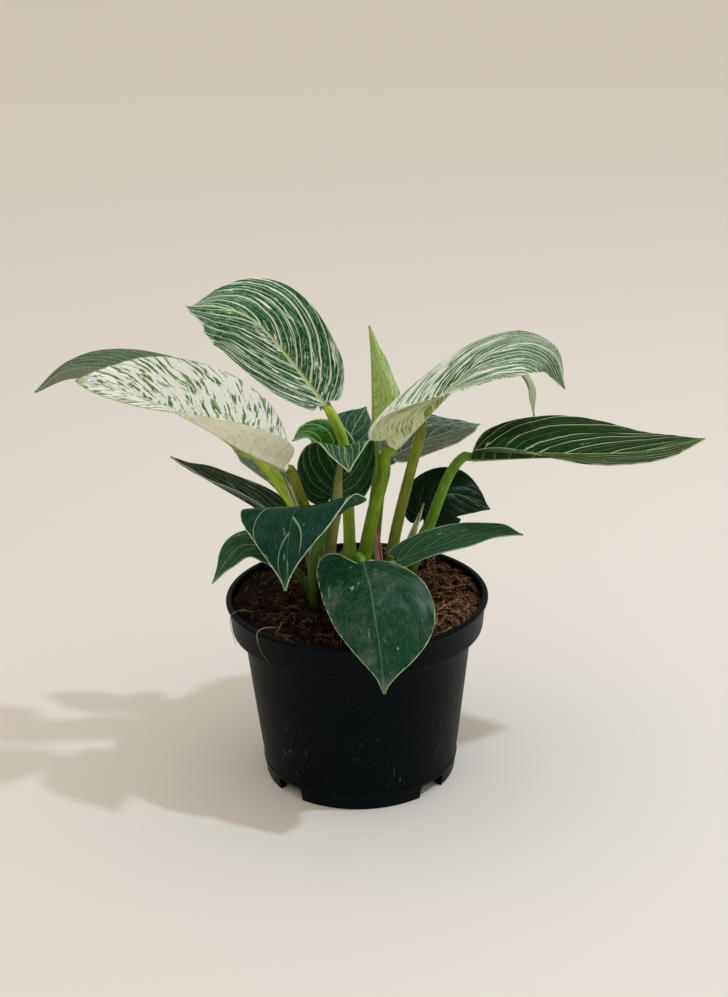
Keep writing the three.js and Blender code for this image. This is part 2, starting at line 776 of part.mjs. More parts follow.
function soilGeometry(holes) {
  const shoulder = skirtZ + 1.4;
  const profile = [
    [0, floorTop + GAP],
    [innerRadius(floorTop + 3) - 3.2 - GAP, floorTop + GAP],
    [innerRadius(floorTop + 3) - GAP, floorTop + 3.3],
    [innerRadius(skirtZ) - GAP, shoulder + GAP],
    [RIM_SKIRT_RADIUS - WALL - GAP - 0.1, skirtZ + 3 + GAP],
  ];
  const edge = RIM_SKIRT_RADIUS - WALL - GAP + 1;
  for (let ring = SOIL_RINGS; ring >= 0; ring--) {
    profile.push([(edge * ring) / SOIL_RINGS, SOIL_EDGE_Z]);
  }
  const geometry = lathe(profile, SOIL_SEGMENTS);
  const position = geometry.attributes.position;
  for (let i = 0; i < position.count; i++) {
    if (position.getZ(i) > SOIL_EDGE_Z - 0.01) {
      position.setZ(i, SOIL_EDGE_Z + soilHeight(position.getX(i), position.getY(i)));
    }
  }
  return geometryOf(holes.reduce((soil, hole) => soil.subtract(hole), solidOf(geometry)));
}

// ---------------------------------------------------------------- assembly

const plant = new THREE.Group();

function add(name, geometry, color, roughness, metalness = 0) {
  const mesh = new THREE.Mesh(geometry, new THREE.MeshStandardMaterial({ color, roughness, metalness }));
  mesh.name = name;
  plant.add(mesh);
}

const holes = [];
for (const leaf of LEAVES) {
  const [bladeColor, petioleColor] = leaf.colors;
  leaf.curve = spline(leaf.midrib);
  const path = petiolePath(leaf, ROOT_Z);
  const holePath = petiolePath(leaf, HOLE_Z);
  add(`leaf_${leaf.name}`, bladeGeometry(leaf), bladeColor, WAXY);
  add(`petiole_${leaf.name}`, stalkGeometry(path, petioleRadius(leaf, 0)), petioleColor, WAXY);
  holes.push(solidOf(stalkGeometry(holePath, petioleRadius(leaf, GAP))));
}

for (const sheath of SHEATHS) {
  const side = { ...FLAT, fold: [sheath.fold, sheath.fold, sheath.fold] };
  const blade = { ...sheath, outline: STRIP, left: side, right: side, radius: [0, GAP] };
  blade.curve = spline(sheath.midrib);
  add(`sheath_${sheath.name}`, bladeGeometry(blade, SHEATH_ROWS), sheath.color, PAPERY);
  const [[footX, footY], next] = sheath.midrib;
  const foot = spline([[footX, footY, HOLE_Z], next]);
  holes.push(solidOf(stalkGeometry(foot, () => sheath.halfWidth + SHEATH_CLEARANCE, 1)));
}

const [stemX, stemY] = STEM.foot;
const stemPath = spline([[stemX, stemY, ROOT_Z], STEM.top]);
const stemRadius = (extra) => (share) => STEM.radius * (1 - STEM.taper * share ** 3) + extra;
add("stem", stalkGeometry(stemPath, stemRadius(0)), 0x5f7a3a, WAXY);
const stemHole = spline([[stemX, stemY, HOLE_Z], STEM.top]);
holes.push(solidOf(stalkGeometry(stemHole, stemRadius(GAP))));

add("pot", potGeometry(), 0x1a1b1e, 0.5);
add("soil", soilGeometry(holes), 0x3a281c, 0.95);

export default plant;
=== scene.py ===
import random
from math import cos, exp, hypot, pi, radians, sin, sqrt

import bmesh
import bpy
import numpy as np
from mathutils import Matrix, Vector, noise


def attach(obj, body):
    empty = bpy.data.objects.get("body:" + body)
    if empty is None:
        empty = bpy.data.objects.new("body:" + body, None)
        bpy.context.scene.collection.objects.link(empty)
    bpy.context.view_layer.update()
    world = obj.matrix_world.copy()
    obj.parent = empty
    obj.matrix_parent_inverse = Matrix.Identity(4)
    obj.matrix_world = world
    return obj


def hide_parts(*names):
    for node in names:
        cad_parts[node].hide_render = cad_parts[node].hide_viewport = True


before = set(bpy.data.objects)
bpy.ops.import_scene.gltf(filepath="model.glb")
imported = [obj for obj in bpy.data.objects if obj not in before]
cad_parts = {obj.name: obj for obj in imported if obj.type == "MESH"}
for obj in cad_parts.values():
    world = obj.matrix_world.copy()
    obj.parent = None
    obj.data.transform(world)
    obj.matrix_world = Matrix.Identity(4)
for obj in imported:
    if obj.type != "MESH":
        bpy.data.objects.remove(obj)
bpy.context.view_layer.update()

# ---------- Pot
# A round nursery pot, moulded in one piece from thin black plastic: a tapered wall, a deep
# rim skirt that ends in a rolled lip, a crease above the foot, and four drain notches.
MM = 0.001
POT_HEIGHT = 88
RIM_RADIUS = 60
SKIRT_Z = POT_HEIGHT - 15.4
SKIRT_RADIUS = 57.6
BASE_RADIUS = 44.4
WALL_TOP_RADIUS = 52.6
WALL = 1.5
LIP = 1.1
LIP_INSIDE = RIM_RADIUS - LIP - WALL
FLOOR_Z = 3
FLOOR_TOP = 4.6
POT_SHARP = 48
NOTCH_ANGLES = (-43, -137, 43, 137)
NOTCH_RADIUS = 0.0452
NOTCH_DEPTH = 0.012
NOTCH_WIDTH = 0.015
NOTCH_HEIGHT = 0.0064
NOTCH_ROUNDING = 0.0016


def outer_radius(z):
    return BASE_RADIUS + (WALL_TOP_RADIUS - BASE_RADIUS) * z / SKIRT_Z


def inner_radius(z):
    return outer_radius(z) - WALL


def spun(profile, steps):
    """Spins a half section, given in millimetres from the middle axis, into a closed solid."""
    bm = bmesh.new()
    points = [bm.verts.new((radius * MM, 0, z * MM)) for radius, z in profile]
    edges = [bm.edges.new(pair) for pair in zip(points, points[1:])]
    bmesh.ops.spin(bm, geom=points + edges, axis=(0, 0, 1), angle=2 * pi, steps=steps,
                   use_merge=True)
    bmesh.ops.remove_doubles(bm, verts=bm.verts[:], dist=1e-7)
    bmesh.ops.recalc_face_normals(bm, faces=bm.faces[:])
    return bm


def add(name, content):
    """Puts a new object into the scene."""
    made = bpy.data.objects.new(name, content)
    bpy.context.scene.collection.objects.link(made)
    return made


def solid(bm, name):
    """Turns a bmesh into an object."""
    mesh = bpy.data.meshes.new(name)
    bm.to_mesh(mesh)
    bm.free()
    return add(name, mesh)


def piece(bm, name, sharp):
    """Turns a bmesh into a piece, smooth but for its sharp edges, that rides on the root."""
    made = solid(bm, name)
    made.data.polygons.foreach_set("use_smooth", [True] * len(made.data.polygons))
    made.data.set_sharp_from_angle(angle=radians(sharp))
    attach(made, "root")
    return made


pot_profile = [
    (0, 0), (9, 0), (9.4, 0.2), (10, FLOOR_Z), (BASE_RADIUS - 3.7, FLOOR_Z),
    (BASE_RADIUS - 3.3, 0.3), (BASE_RADIUS - 3, 0), (BASE_RADIUS - 0.7, 0),
    (BASE_RADIUS - 0.2, 0.2), (BASE_RADIUS, 0.8),
    *((outer_radius(z) + proud, z) for z, proud in (
        (7.2, 0.1), (7.9, 0.3), (8.4, -0.05), (9, -0.1), (30, 0), (52, 0),
        (SKIRT_Z - 1.4, 0), (SKIRT_Z - 0.4, 0.3))),
    *((SKIRT_RADIUS + proud, SKIRT_Z + rise) for proud, rise in (
        (-2.2, 0), (-0.8, 0.1), (-0.1, 0.6), (0.1, 1.4))),
    (RIM_RADIUS - LIP - 0.1, POT_HEIGHT - 3.2), (RIM_RADIUS - LIP + 0.1, POT_HEIGHT - 2.7),
    *((RIM_RADIUS - inset, POT_HEIGHT - drop) for inset, drop in (
        (0.3, 2.3), (0, 1.7), (0, 0.9), (0.3, 0.3), (0.9, 0))),
    *((LIP_INSIDE + out, POT_HEIGHT - drop) for out, drop in ((0.8, 0), (0.2, 0.25), (0, 0.9))),
    (SKIRT_RADIUS - WALL, SKIRT_Z + 3), (inner_radius(SKIRT_Z), SKIRT_Z + 1.4),
    (inner_radius(FLOOR_TOP + 3), FLOOR_TOP + 3), (inner_radius(FLOOR_TOP + 3) - 3, FLOOR_TOP),
    (0, FLOOR_TOP),
]
pot = piece(spun(pot_profile, 144), "pot_shell", POT_SHARP)

# The drain notches: a round-cornered block is taken out of the foot four times.
notches = bmesh.new()
block = Matrix.Diagonal((NOTCH_DEPTH, NOTCH_WIDTH, 2 * NOTCH_HEIGHT, 1))
for angle in NOTCH_ANGLES:
    spot = Matrix.Rotation(radians(angle), 4, "Z") @ Matrix.Translation((NOTCH_RADIUS, 0, 0))
    bmesh.ops.create_cube(notches, size=1, matrix=spot @ block)
inward = [edge for edge in notches.edges if abs(edge.calc_length() - NOTCH_DEPTH) < 1e-6]
bmesh.ops.bevel(notches, geom=inward, offset=NOTCH_ROUNDING, segments=4, affect="EDGES",
                profile=0.5, material=-1)
cutter = solid(notches, "notches")
cut = pot.modifiers.new("notches", "BOOLEAN")
cut.operation, cut.solver, cut.object = "DIFFERENCE", "EXACT", cutter
shape = pot.evaluated_get(bpy.context.evaluated_depsgraph_get())
notched = bpy.data.meshes.new_from_object(shape)
pot.modifiers.clear()
pot.data = notched
bpy.data.objects.remove(cutter)
notched.set_sharp_from_angle(angle=radians(POT_SHARP))


def node(near, kind, given={}, **settings):
    """Adds a shader node near another one of its tree, with its settings, and links or sets its
    inputs by name or number."""
    made = near.id_data.nodes.new("ShaderNode" + kind)
    for key, value in settings.items():
        setattr(made, key, value)
    for key, value in given.items():
        if isinstance(value, Field):
            near.id_data.links.new(value.socket, made.inputs[key])
        else:
            made.inputs[key].default_value = value
    return made


class Field:
    """A value, colour or place that changes over a surface, as a shader works it out."""

    def __init__(self, socket):
        self.socket = socket

    def feed(self, kind, given, **settings):
        """What another node of the tree makes of this field and others."""
        return Field(node(self.socket, kind, given, **settings).outputs[0])

    def calc(self, operation, *others):
        return self.feed("Math", dict(enumerate((self, *others))), operation=operation)

    def __add__(self, other):
        return self.calc("ADD", other)

    def __sub__(self, other):
        return self.calc("SUBTRACT", other)

    def __rsub__(self, other):
        return self.feed("Math", {0: other, 1: self}, operation="SUBTRACT")

    def __mul__(self, other):
        return self.calc("MULTIPLY", other)

    def step(self, low, high):
        """0 below low, 1 above high, and a smooth step between them."""
        given = {"Value": self, "From Min": low, "From Max": high}
        return self.feed("MapRange", given, interpolation_type="SMOOTHSTEP")

    def cloud(self, scale, detail=2, roughness=0.5):
        """Soft noise from 0 to 1 over a place."""
        given = {"Vector": self, "Scale": scale, "Detail": detail, "Roughness": roughness}
        return self.feed("TexNoise", given)

    def parts(self):
        """The x, y and z of a place."""
        return [Field(socket) for socket in node(self.socket, "SeparateXYZ", {0: self}).outputs]

    def blend(self, first, second):
        """The first colour where this field is 0, and the second one where it is 1."""
        mixed = node(self.socket, "Mix", {0: self, 6: first, 7: second}, data_type="RGBA")
        return Field(mixed.outputs[2])


def surface(near):
    """The place on the piece, in metres."""
    return Field(node(near, "TexCoord").outputs["Object"])


def paint(red, green, blue):
    """A paint colour, each part from 0 to 255 as on a screen, for a shader."""
    parts = [part / 255 for part in (red, green, blue)]
    return *(p / 12.92 if p < 0.04045 else ((p + 0.055) / 1.055) ** 2.4 for p in parts), 1


def finish(name, specular):
    """A material, and its Principled shader."""
    made = bpy.data.materials.new(name)
    made.use_nodes = True
    shader = made.node_tree.nodes["Principled BSDF"]
    shader.inputs["Specular IOR Level"].default_value = specular
    return made, shader


def dress(shader, color, roughness, height, strength, distance):
    """Feeds a shader its colour, its roughness, and a normal from a height."""
    bump = node(shader, "Bump", {"Height": height, "Strength": strength, "Distance": distance})
    for label, value in (("Base Color", color), ("Roughness", roughness),
                         ("Normal", Field(bump.outputs[0]))):
        shader.id_data.links.new(value.socket, shader.inputs[label])


# Black plastic: satin, with a fine mould grain, dull scuffs low on the wall, and some dust.
plastic, shader = finish("black_plastic", 0.05)
place = surface(shader)
height_up = place.parts()[2]
grain = place.cloud(1400, 3, 0.6)
drift = place.cloud(34, 3)
tall = place.feed("Mapping", {0: place, "Scale": (1, 1, 0.3)})
scratches = tall.cloud(620, 3, 0.7).step(0.56, 0.68)
low_wall = height_up.step(0.006, 0.014) * height_up.step(0.052, 0.03)
patches = place.cloud(46).step(0.5, 0.68)
scuffs = scratches * patches * low_wall
specks = place.cloud(760, 1).step(0.73, 0.76) * 0.5
marks = scuffs.calc("MAXIMUM", specks) * 0.75
base = drift.blend(paint(2, 8, 12), paint(6, 14, 18))
dress(shader, marks.blend(base, paint(74, 78, 78)), drift * 0.16 + 0.34 + marks * 0.5,
      grain + scuffs * 0.6, 0.16, 0.0004)
pot.data.materials.clear()
pot.data.materials.append(plastic)
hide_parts("pot")

# ---------- Soil
# Dark peat with coconut coir, filled up to just under the lip and heaped at the back right.
# It is loose: crumbs of peat and tan coir fibres lie on it and stand out of it.
SOIL_EDGE_Z = 84
SOIL_EDGE_RADIUS = 56.7
SOIL_RINGS = 66
SOIL_GAP = 0.3
CRUMB_COUNT = 900
CRUMB_REACH = 55
FIBRE_COUNT = 1100
FIBRE_REACH = 54
FIBRE_STEPS = 6
random.seed(11)


def soil_height(x, y):
    """Height of the soil in millimetres: a low dome, a heap at the back right, and lumps."""
    dome = 2.5 * (1 - (x * x + y * y) / RIM_RADIUS ** 2)
    heap = 5 * exp(-((x - 22) ** 2 + (y - 40) ** 2) / 400)
    lumps = 0.7 * sin(0.33 * x + 0.4) * cos(0.29 * y)
    small_lumps = 0.4 * sin(0.61 * x - 0.53 * y)
    return SOIL_EDGE_Z + dome + heap + (lumps + small_lumps)


def crumbly(x, y):
    """How far crumbs and clods raise the soil there, in millimetres."""
    clods = noise.fractal(Vector((x, y, 3)) / 7, 0.7, 2.1, 4)
    crumbs = noise.noise(Vector((x, y, 9)) / 1.5)
    return 1.5 * clods + 0.75 * crumbs + 0.5 * abs(noise.noise(Vector((x, y, 21)) / 0.8))


def anywhere(reach):
    """A random place on the soil."""
    angle, far = random.uniform(0, 2 * pi), reach * sqrt(random.random())
    return far * cos(angle), far * sin(angle)


foot_radius = inner_radius(FLOOR_TOP + 3)
soil_mesh = spun([
    (0, FLOOR_TOP + SOIL_GAP), (foot_radius - 3.5, FLOOR_TOP + SOIL_GAP),
    (foot_radius - SOIL_GAP, FLOOR_TOP + 3.3), (inner_radius(SKIRT_Z) - SOIL_GAP, SKIRT_Z + 1.7),
    (SKIRT_RADIUS - WALL - 0.4, SKIRT_Z + 3.3),
    *((SOIL_EDGE_RADIUS * ring / SOIL_RINGS, SOIL_EDGE_Z) for ring in range(SOIL_RINGS, -1, -1)),
], 240)
for vert in soil_mesh.verts:
    if vert.co.z > (SOIL_EDGE_Z - 0.01) * MM:
        x, y = vert.co.x / MM, vert.co.y / MM
        rim = min(1, (SOIL_EDGE_RADIUS - hypot(x, y)) / 3)
        vert.co.z = (soil_height(x, y) + crumbly(x, y) * (0.4 + 0.6 * rim)) * MM
soil = piece(soil_mesh, "soil_bed", 75)

crumbs = bmesh.new()
for _ in range(CRUMB_COUNT):
    x, y = anywhere(CRUMB_REACH)
    size = random.uniform(0.3, 0.8) * (1.7 if random.random() < 0.08 else 1)
    spot = Vector((x, y, soil_height(x, y) + crumbly(x, y) + 0.25 * size)) * MM
    turn = Matrix.Rotation(random.uniform(0, 6.28), 4, random.choice("XYZ"))
    shape = Matrix.Diagonal((1, random.uniform(0.6, 0.9), random.uniform(0.45, 0.75), 1))
    made = bmesh.ops.create_icosphere(crumbs, subdivisions=2, radius=size * MM,
                                      matrix=Matrix.Translation(spot) @ turn @ shape)
    for vert in made["verts"]:
        vert.co += noise.noise_vector(vert.co * 900) * size * 0.35 * MM
crumbs = piece(crumbs, "soil_crumbs", 60)


def strands(name, routes, thickness, taper=0.4):
    """Fine fibres in one mesh: each follows its points, in millimetres, and thins to its end."""
    curve = bpy.data.curves.new(name, "CURVE")
    curve.dimensions, curve.resolution_u = "3D", 3
    curve.bevel_depth, curve.bevel_resolution, curve.use_fill_caps = MM, 0, True
    for route, size in zip(routes, thickness):
        line = curve.splines.new("NURBS")
        line.points.add(len(route) - 1)
        line.use_endpoint_u, line.order_u = True, 3
        for index, (point, spot) in enumerate(zip(line.points, route)):
            point.co = (*(Vector(spot) * MM), 1)
            point.radius = size * (1 - (1 - taper) * index / (len(route) - 1))
    holder = add(name, curve)
    shape = holder.evaluated_get(bpy.context.evaluated_depsgraph_get())
    mesh = bpy.data.meshes.new_from_object(shape)
    bpy.data.objects.remove(holder)
    bm = bmesh.new()
    bm.from_mesh(mesh)
    bmesh.ops.remove_doubles(bm, verts=bm.verts[:], dist=1e-8)
    bmesh.ops.recalc_face_normals(bm, faces=bm.faces[:])
    return piece(bm, name, 80)


def fibre_route(x, y, length, rise):
    """A fibre that lies on the soil, with a bow in it."""
    heading, bow = random.uniform(0, 2 * pi), random.uniform(-1.3, 1.3)
    route = []
    for index in range(FIBRE_STEPS + 1):
        along = index / FIBRE_STEPS
        turn = heading + bow * along
        x += length / FIBRE_STEPS * cos(turn)
        y += length / FIBRE_STEPS * sin(turn)
        far = hypot(x, y)
        if far > CRUMB_REACH:
            x, y = x * CRUMB_REACH / far, y * CRUMB_REACH / far
        lift = 0.5 + rise * sin(pi * along) + random.uniform(-0.15, 0.3)
        route.append((x, y, soil_height(x, y) + max(0, crumbly(x, y)) + lift))
    return route


fibre_routes = []
for _ in range(FIBRE_COUNT):
    start = anywhere(FIBRE_REACH)
    length = random.uniform(1.5, 6) if random.random() < 0.92 else random.uniform(6, 18)
    fibre_routes.append(fibre_route(*start, length, random.choice((0, 0.3, 0.6, 1.8))))
fibres = strands("coir_fibres", fibre_routes,
                 [random.uniform(0.06, 0.17) for _ in fibre_routes])

# Peat: near black in patches, red brown on the crumbs, matt and rough. Its light clods, on the
# right half of the pot only, are painted light from the lamp at the right.
peat, shader = finish("peat", 0.15)
place = surface(shader)
coarse = place.cloud(210, 5, 0.7)
fine = place.cloud(1500, 4, 0.75)
threads = place.feed("TexVoronoi", {"Vector": place, "Scale": 620}, feature="F1")
brown = fine.step(0.38, 0.62).blend(paint(6, 4, 2), paint(68, 43, 30))
warm = coarse.step(0.4, 0.62).blend(paint(10, 7, 5), brown)
# Painted light: clods turn light brown only on the right half, where the lamp at the right falls.
painted_lit_side = place.parts()[0].step(0, 0.04)
clods = coarse.step(0.42, 0.6) * fine.step(0.44, 0.6)
dress(shader, (painted_lit_side * clods).blend(warm, paint(168, 116, 84)), fine.step(-1, 0.4),
      fine + threads, 0.9, 0.0009)
for part in (soil, crumbs):
    part.data.materials.append(peat)
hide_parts("soil")

# Coir: tan with darker damp patches on the left half of the pot, and straw coloured on the right
# half: that split is painted shade and painted light from the lamp at the right.
coir, shader = finish("coir", 0.25)
place = surface(shader)
shade = place.cloud(130)
damp_and_painted_shade = shade.step(0.4, 0.62).blend(paint(50, 33, 24), paint(150, 114, 84))
# Painted light and shade: straw colour right of the middle, the darker damp tan left of it.
tan = place.parts()[0].step(-0.01, 0.02).blend(damp_and_painted_shade, paint(206, 164, 124))
dress(shader, tan, shade.step(-0.6, 0.8), place.cloud(2600), 0.4, 0.0002)
fibres.data.materials.append(coir)

# ---------- Stem
# The short green stem that all the leaves grow from, ringed by the scars of leaves that fell
# off. It is rooted in the soil, and the petioles hide it.
EVENLY = np.linspace(0, 1, 201)
STALK_RINGS = 40
STALK_SIDES = 16
STALK_GROOVE = 0.09
ROOTED_Z = 70


class Line:
    """A smooth curve through points, measured along its length from 0 to 1."""

    def __init__(self, points):
        points = np.array(points, float)
        self.points = np.vstack([2 * points[0] - points[1], points, 2 * points[-1] - points[-2]])
        steps = np.diff(self.at(EVENLY), axis=0)
        self.lengths = np.concatenate([[0], np.cumsum(np.linalg.norm(steps, axis=1))])
        self.length = self.lengths[-1]

    def at(self, t):
        place = np.asarray(t) * (len(self.points) - 3)
        index = np.clip(place.astype(int), 0, len(self.points) - 4)
        w = (place - index)[..., None]
        a, b, c, d = (self.points[index + shift] for shift in range(4))
        return (b + w * (c - a) / 2 + w ** 2 * (a - 2.5 * b + 2 * c - d / 2)
                + w ** 3 * (1.5 * (b - c) + (d - a) / 2))

    def share(self, share):
        return np.interp(np.asarray(share) * self.length, self.lengths, EVENLY)

    def point(self, share):
        return self.at(self.share(share))

    def direction(self, share):
        t = self.share(share)
        return unit(self.at(np.minimum(t + 1e-4, 1)) - self.at(np.maximum(t - 1e-4, 0)))


def unit(vectors):
    return vectors / np.linalg.norm(vectors, axis=-1, keepdims=True)


def dot(first, second):
    return np.sum(first * second, axis=-1, keepdims=True)


def sheet(columns, rows, data):
    """A bmesh grid whose vertices take their places, in millimetres, and their attributes from
    arrays with a row and a column for each. With data for two sides it becomes a thin shell."""
    bm = bmesh.new()
    bmesh.ops.create_grid(bm, x_segments=columns, y_segments=rows, size=0.5)
    layers = {name: bm.verts.layers.float_vector.new(name) for name in data[0] if name != "place"}
    spots = [(vert, 0) for vert in bm.verts]
    if len(data) == 2:
        made = bmesh.ops.extrude_face_region(bm, geom=bm.faces[:], use_keep_orig=True)["geom"]
        spots += [(vert, 1) for vert in made if isinstance(vert, bmesh.types.BMVert)]
    for vert, side in spots:
        spot = round((vert.co.y + 0.5) * rows), round((vert.co.x + 0.5) * columns)
        for name, layer in layers.items():
            vert[layer] = data[side][name][spot]
        vert.co = Vector(data[side]["place"][spot]) * MM
    return bm


def stalk(name, line, radii, top):
    """A round stalk along a line, with a radius for each ring, and top, the way its last ring
    faces up. A shallow groove runs along its top."""
    share = np.linspace(0, 1, len(radii))
    middle, way = line.point(share), line.direction(share)
    tops = np.empty((len(radii), 3))
    for ring in range(len(radii) - 1, -1, -1):
        top = tops[ring] = unit(top - dot(top, way[ring]) * way[ring])
    turn = np.linspace(0, 2 * np.pi, STALK_SIDES + 1)
    round_it = 1 - STALK_GROOVE * np.maximum(0, np.cos(turn)) ** 3
    radius = np.array(radii)[:, None] * round_it[None, :]
    across = np.cross(way, tops)
    place = middle[:, None] + radius[..., None] * (
        np.cos(turn)[None, :, None] * tops[:, None] + np.sin(turn)[None, :, None] * across[:, None])
    along = np.broadcast_to((share * line.length)[:, None], radius.shape)
    around = np.broadcast_to(np.abs(turn - np.pi)[None, :], radius.shape)
    grain = np.stack([around, along, along / line.length], axis=-1)
    bm = sheet(STALK_SIDES, len(radii) - 1, [{"place": place, "grain": grain}])
    bmesh.ops.remove_doubles(bm, verts=bm.verts[:], dist=1e-6)
    bmesh.ops.holes_fill(bm, edges=bm.edges[:], sides=0)
    bmesh.ops.recalc_face_normals(bm, faces=bm.faces[:])
    return piece(bm, name + "_stalk", 50)


def shader_group(name, colors, values=()):
    """A group of shader nodes with named colours and values going in, and a colour, a roughness
    and a height coming out. Returns the group, and its inputs by name."""
    tree = bpy.data.node_groups.new(name, "ShaderNodeTree")
    for label in (*colors, *values):
        kind = "Color" if label in colors else "Float"
        tree.interface.new_socket(label, in_out="INPUT", socket_type="NodeSocket" + kind)
    for label, kind in (("Color", "Color"), ("Roughness", "Float"), ("Height", "Float")):
        tree.interface.new_socket(label, in_out="OUTPUT", socket_type="NodeSocket" + kind)
    given = tree.nodes.new("NodeGroupInput").outputs
    return tree, {label: Field(given[label]) for label in (*colors, *values)}


def group_results(tree, *results):
    """Ends a group of shader nodes with its colour, roughness and height."""
    out = tree.nodes.new("NodeGroupOutput")
    for result, socket in zip(results, out.inputs):
        tree.links.new(result.socket, socket)


def attribute(near, name):
    """An attribute of the mesh, laid down by sheet()."""
    return Field(node(near, "Attribute", attribute_name=name).outputs["Vector"])


# Streaks along the stem and the petioles: light and dark lines, flecks, and a darker foot.
streaks, given = shader_group("stalk streaks", ("Light", "Dark", "Foot"))
place = surface(streaks.nodes[0])
grain = attribute(streaks.nodes[0], "grain")
flow = grain.feed("Mapping", {0: grain, "Scale": (2.6, 0.05, 0)}).cloud(1.6, 3, 0.6)
flecks = place.cloud(900).step(0.6, 0.68)
tone = flow * 0.65 + place.cloud(150, 3) * 0.35
body = tone.step(0.36, 0.64).blend(given["Dark"], given["Light"])
body = (flecks * 0.25).blend(body, given["Dark"])
body = place.parts()[2].step(0.108, 0.086).blend(body, given["Foot"])
group_results(streaks, body, tone * 0.2 + 0.32, flow + flecks * 0.3)


def stalk_skin(name, light, dark, foot=(62, 72, 34)):
    """The skin of a stalk in its own greens."""
    made, shader = finish(name, 0.2)
    greens = {"Light": paint(*light), "Dark": paint(*dark), "Foot": paint(*foot)}
    group = node(shader, "Group", greens, node_tree=streaks)
    dress(shader, *map(Field, group.outputs), 0.35, 0.0003)
    return made


stem_radii = [3.8 * (1 - 0.35 * (ring / STALK_RINGS) ** 3) * (1 + 0.05 * sin(ring * 1.15) ** 8)
              for ring in range(STALK_RINGS + 1)]
stem = stalk("stem", Line([(3, 5, ROOTED_Z), (3, 5, 93)]), stem_radii, (0, -1, 0))
stem.data.materials.append(stalk_skin("stem_skin", (120, 132, 74), (82, 96, 52), (78, 62, 40)))
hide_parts("stem")

# ---------- Upper left leaf
# The biggest striped leaf: a leathery dark green blade with cream pinstripes along its side
# veins. Every leaf of the plant is a blade on a petiole that is rooted in the soil.
VEIN_START = 1.7
VEIN_SWEEP = 0.55
NOTCH_COLUMN = 0.4
BACK_ROWS = 0.3
FOLD_ROOM = 0.6
HALF_THICKNESS = 0.4
EDGE_THINNING = 0.2
GROOVE_DEPTH = 0.2
RIB_DEPTH = 1.6
RIB_REACH = 0.8
EDGE_SPOTS = 160
MARGIN_WAVES = 19
SWELL = 0.13
SWELLS = 11
BROAD = [(-0.02, 0.3), (0.02, 0.55), (0.12, 0.8), (0.28, 0.95), (0.46, 1), (0.62, 0.94),
         (0.76, 0.75), (0.88, 0.45), (0.96, 0.18), (1, 0.015)]


def through(values, t):
    """The smooth curve through three values at 0, 1/2 and 1."""
    a, b, c = np.array(values, float)
    t = np.asarray(t)[(...,) + (None,) * np.ndim(a)]
    return a * (2 * t - 1) * (t - 1) + b * 4 * t * (1 - t) + c * t * (2 * t - 1)


def rib_frame(line, facing, share):
    """Point, direction, upper side and right-hand side of the midrib at shares of its length."""
    at = np.clip(share, 0, 1)
    way = line.direction(at)
    point = line.point(at) + way * (np.minimum(share, 0) * line.length)[..., None]
    upper = through(np.broadcast_to(facing, (3, 3)), at)
    upper = unit(upper - dot(upper, way) * way)
    return point, way, upper, np.cross(way, upper)


def vein_grid(outline, half_width, neck, t, q):
    """Where the side veins run on a blade laid flat: t is the vein, from base to tip, and q the
    way along it from midrib to margin. The first veins turn out of the notch at the petiole.
    Returns shares of the length and of the half width, and the margin's line."""
    notch = max(0.1, (neck + 0.6) / half_width)
    margin = [(share, max(width, notch + 0.8 * (width - 0.1)) if share < 0 else width)
              for share, width in outline]
    edge = Line([(0, notch, 0)] + [(*spot, 0) for spot in margin])
    back = np.argmin(edge.point(EVENLY)[:, 0]) / (len(EVENLY) - 1)

    def swept(start, end):
        ahead = (end[..., 0] - start) * q * (1 - VEIN_SWEEP + VEIN_SWEEP * q)
        return np.stack([start + ahead, end[..., 1] * q], axis=-1)

    vein = swept(t ** VEIN_START, edge.point(back + (1 - back) * t))
    first = swept(0 * t, edge.point(back + 0 * t))
    lobe = edge.point(back * np.maximum(0, q - NOTCH_COLUMN) / (1 - NOTCH_COLUMN))[..., :2]
    lobe[..., 1] *= np.minimum(1, q / NOTCH_COLUMN)
    turn = np.maximum(0, 1 - t / BACK_ROWS)[..., None]
    return vein + turn * (lobe - first), edge


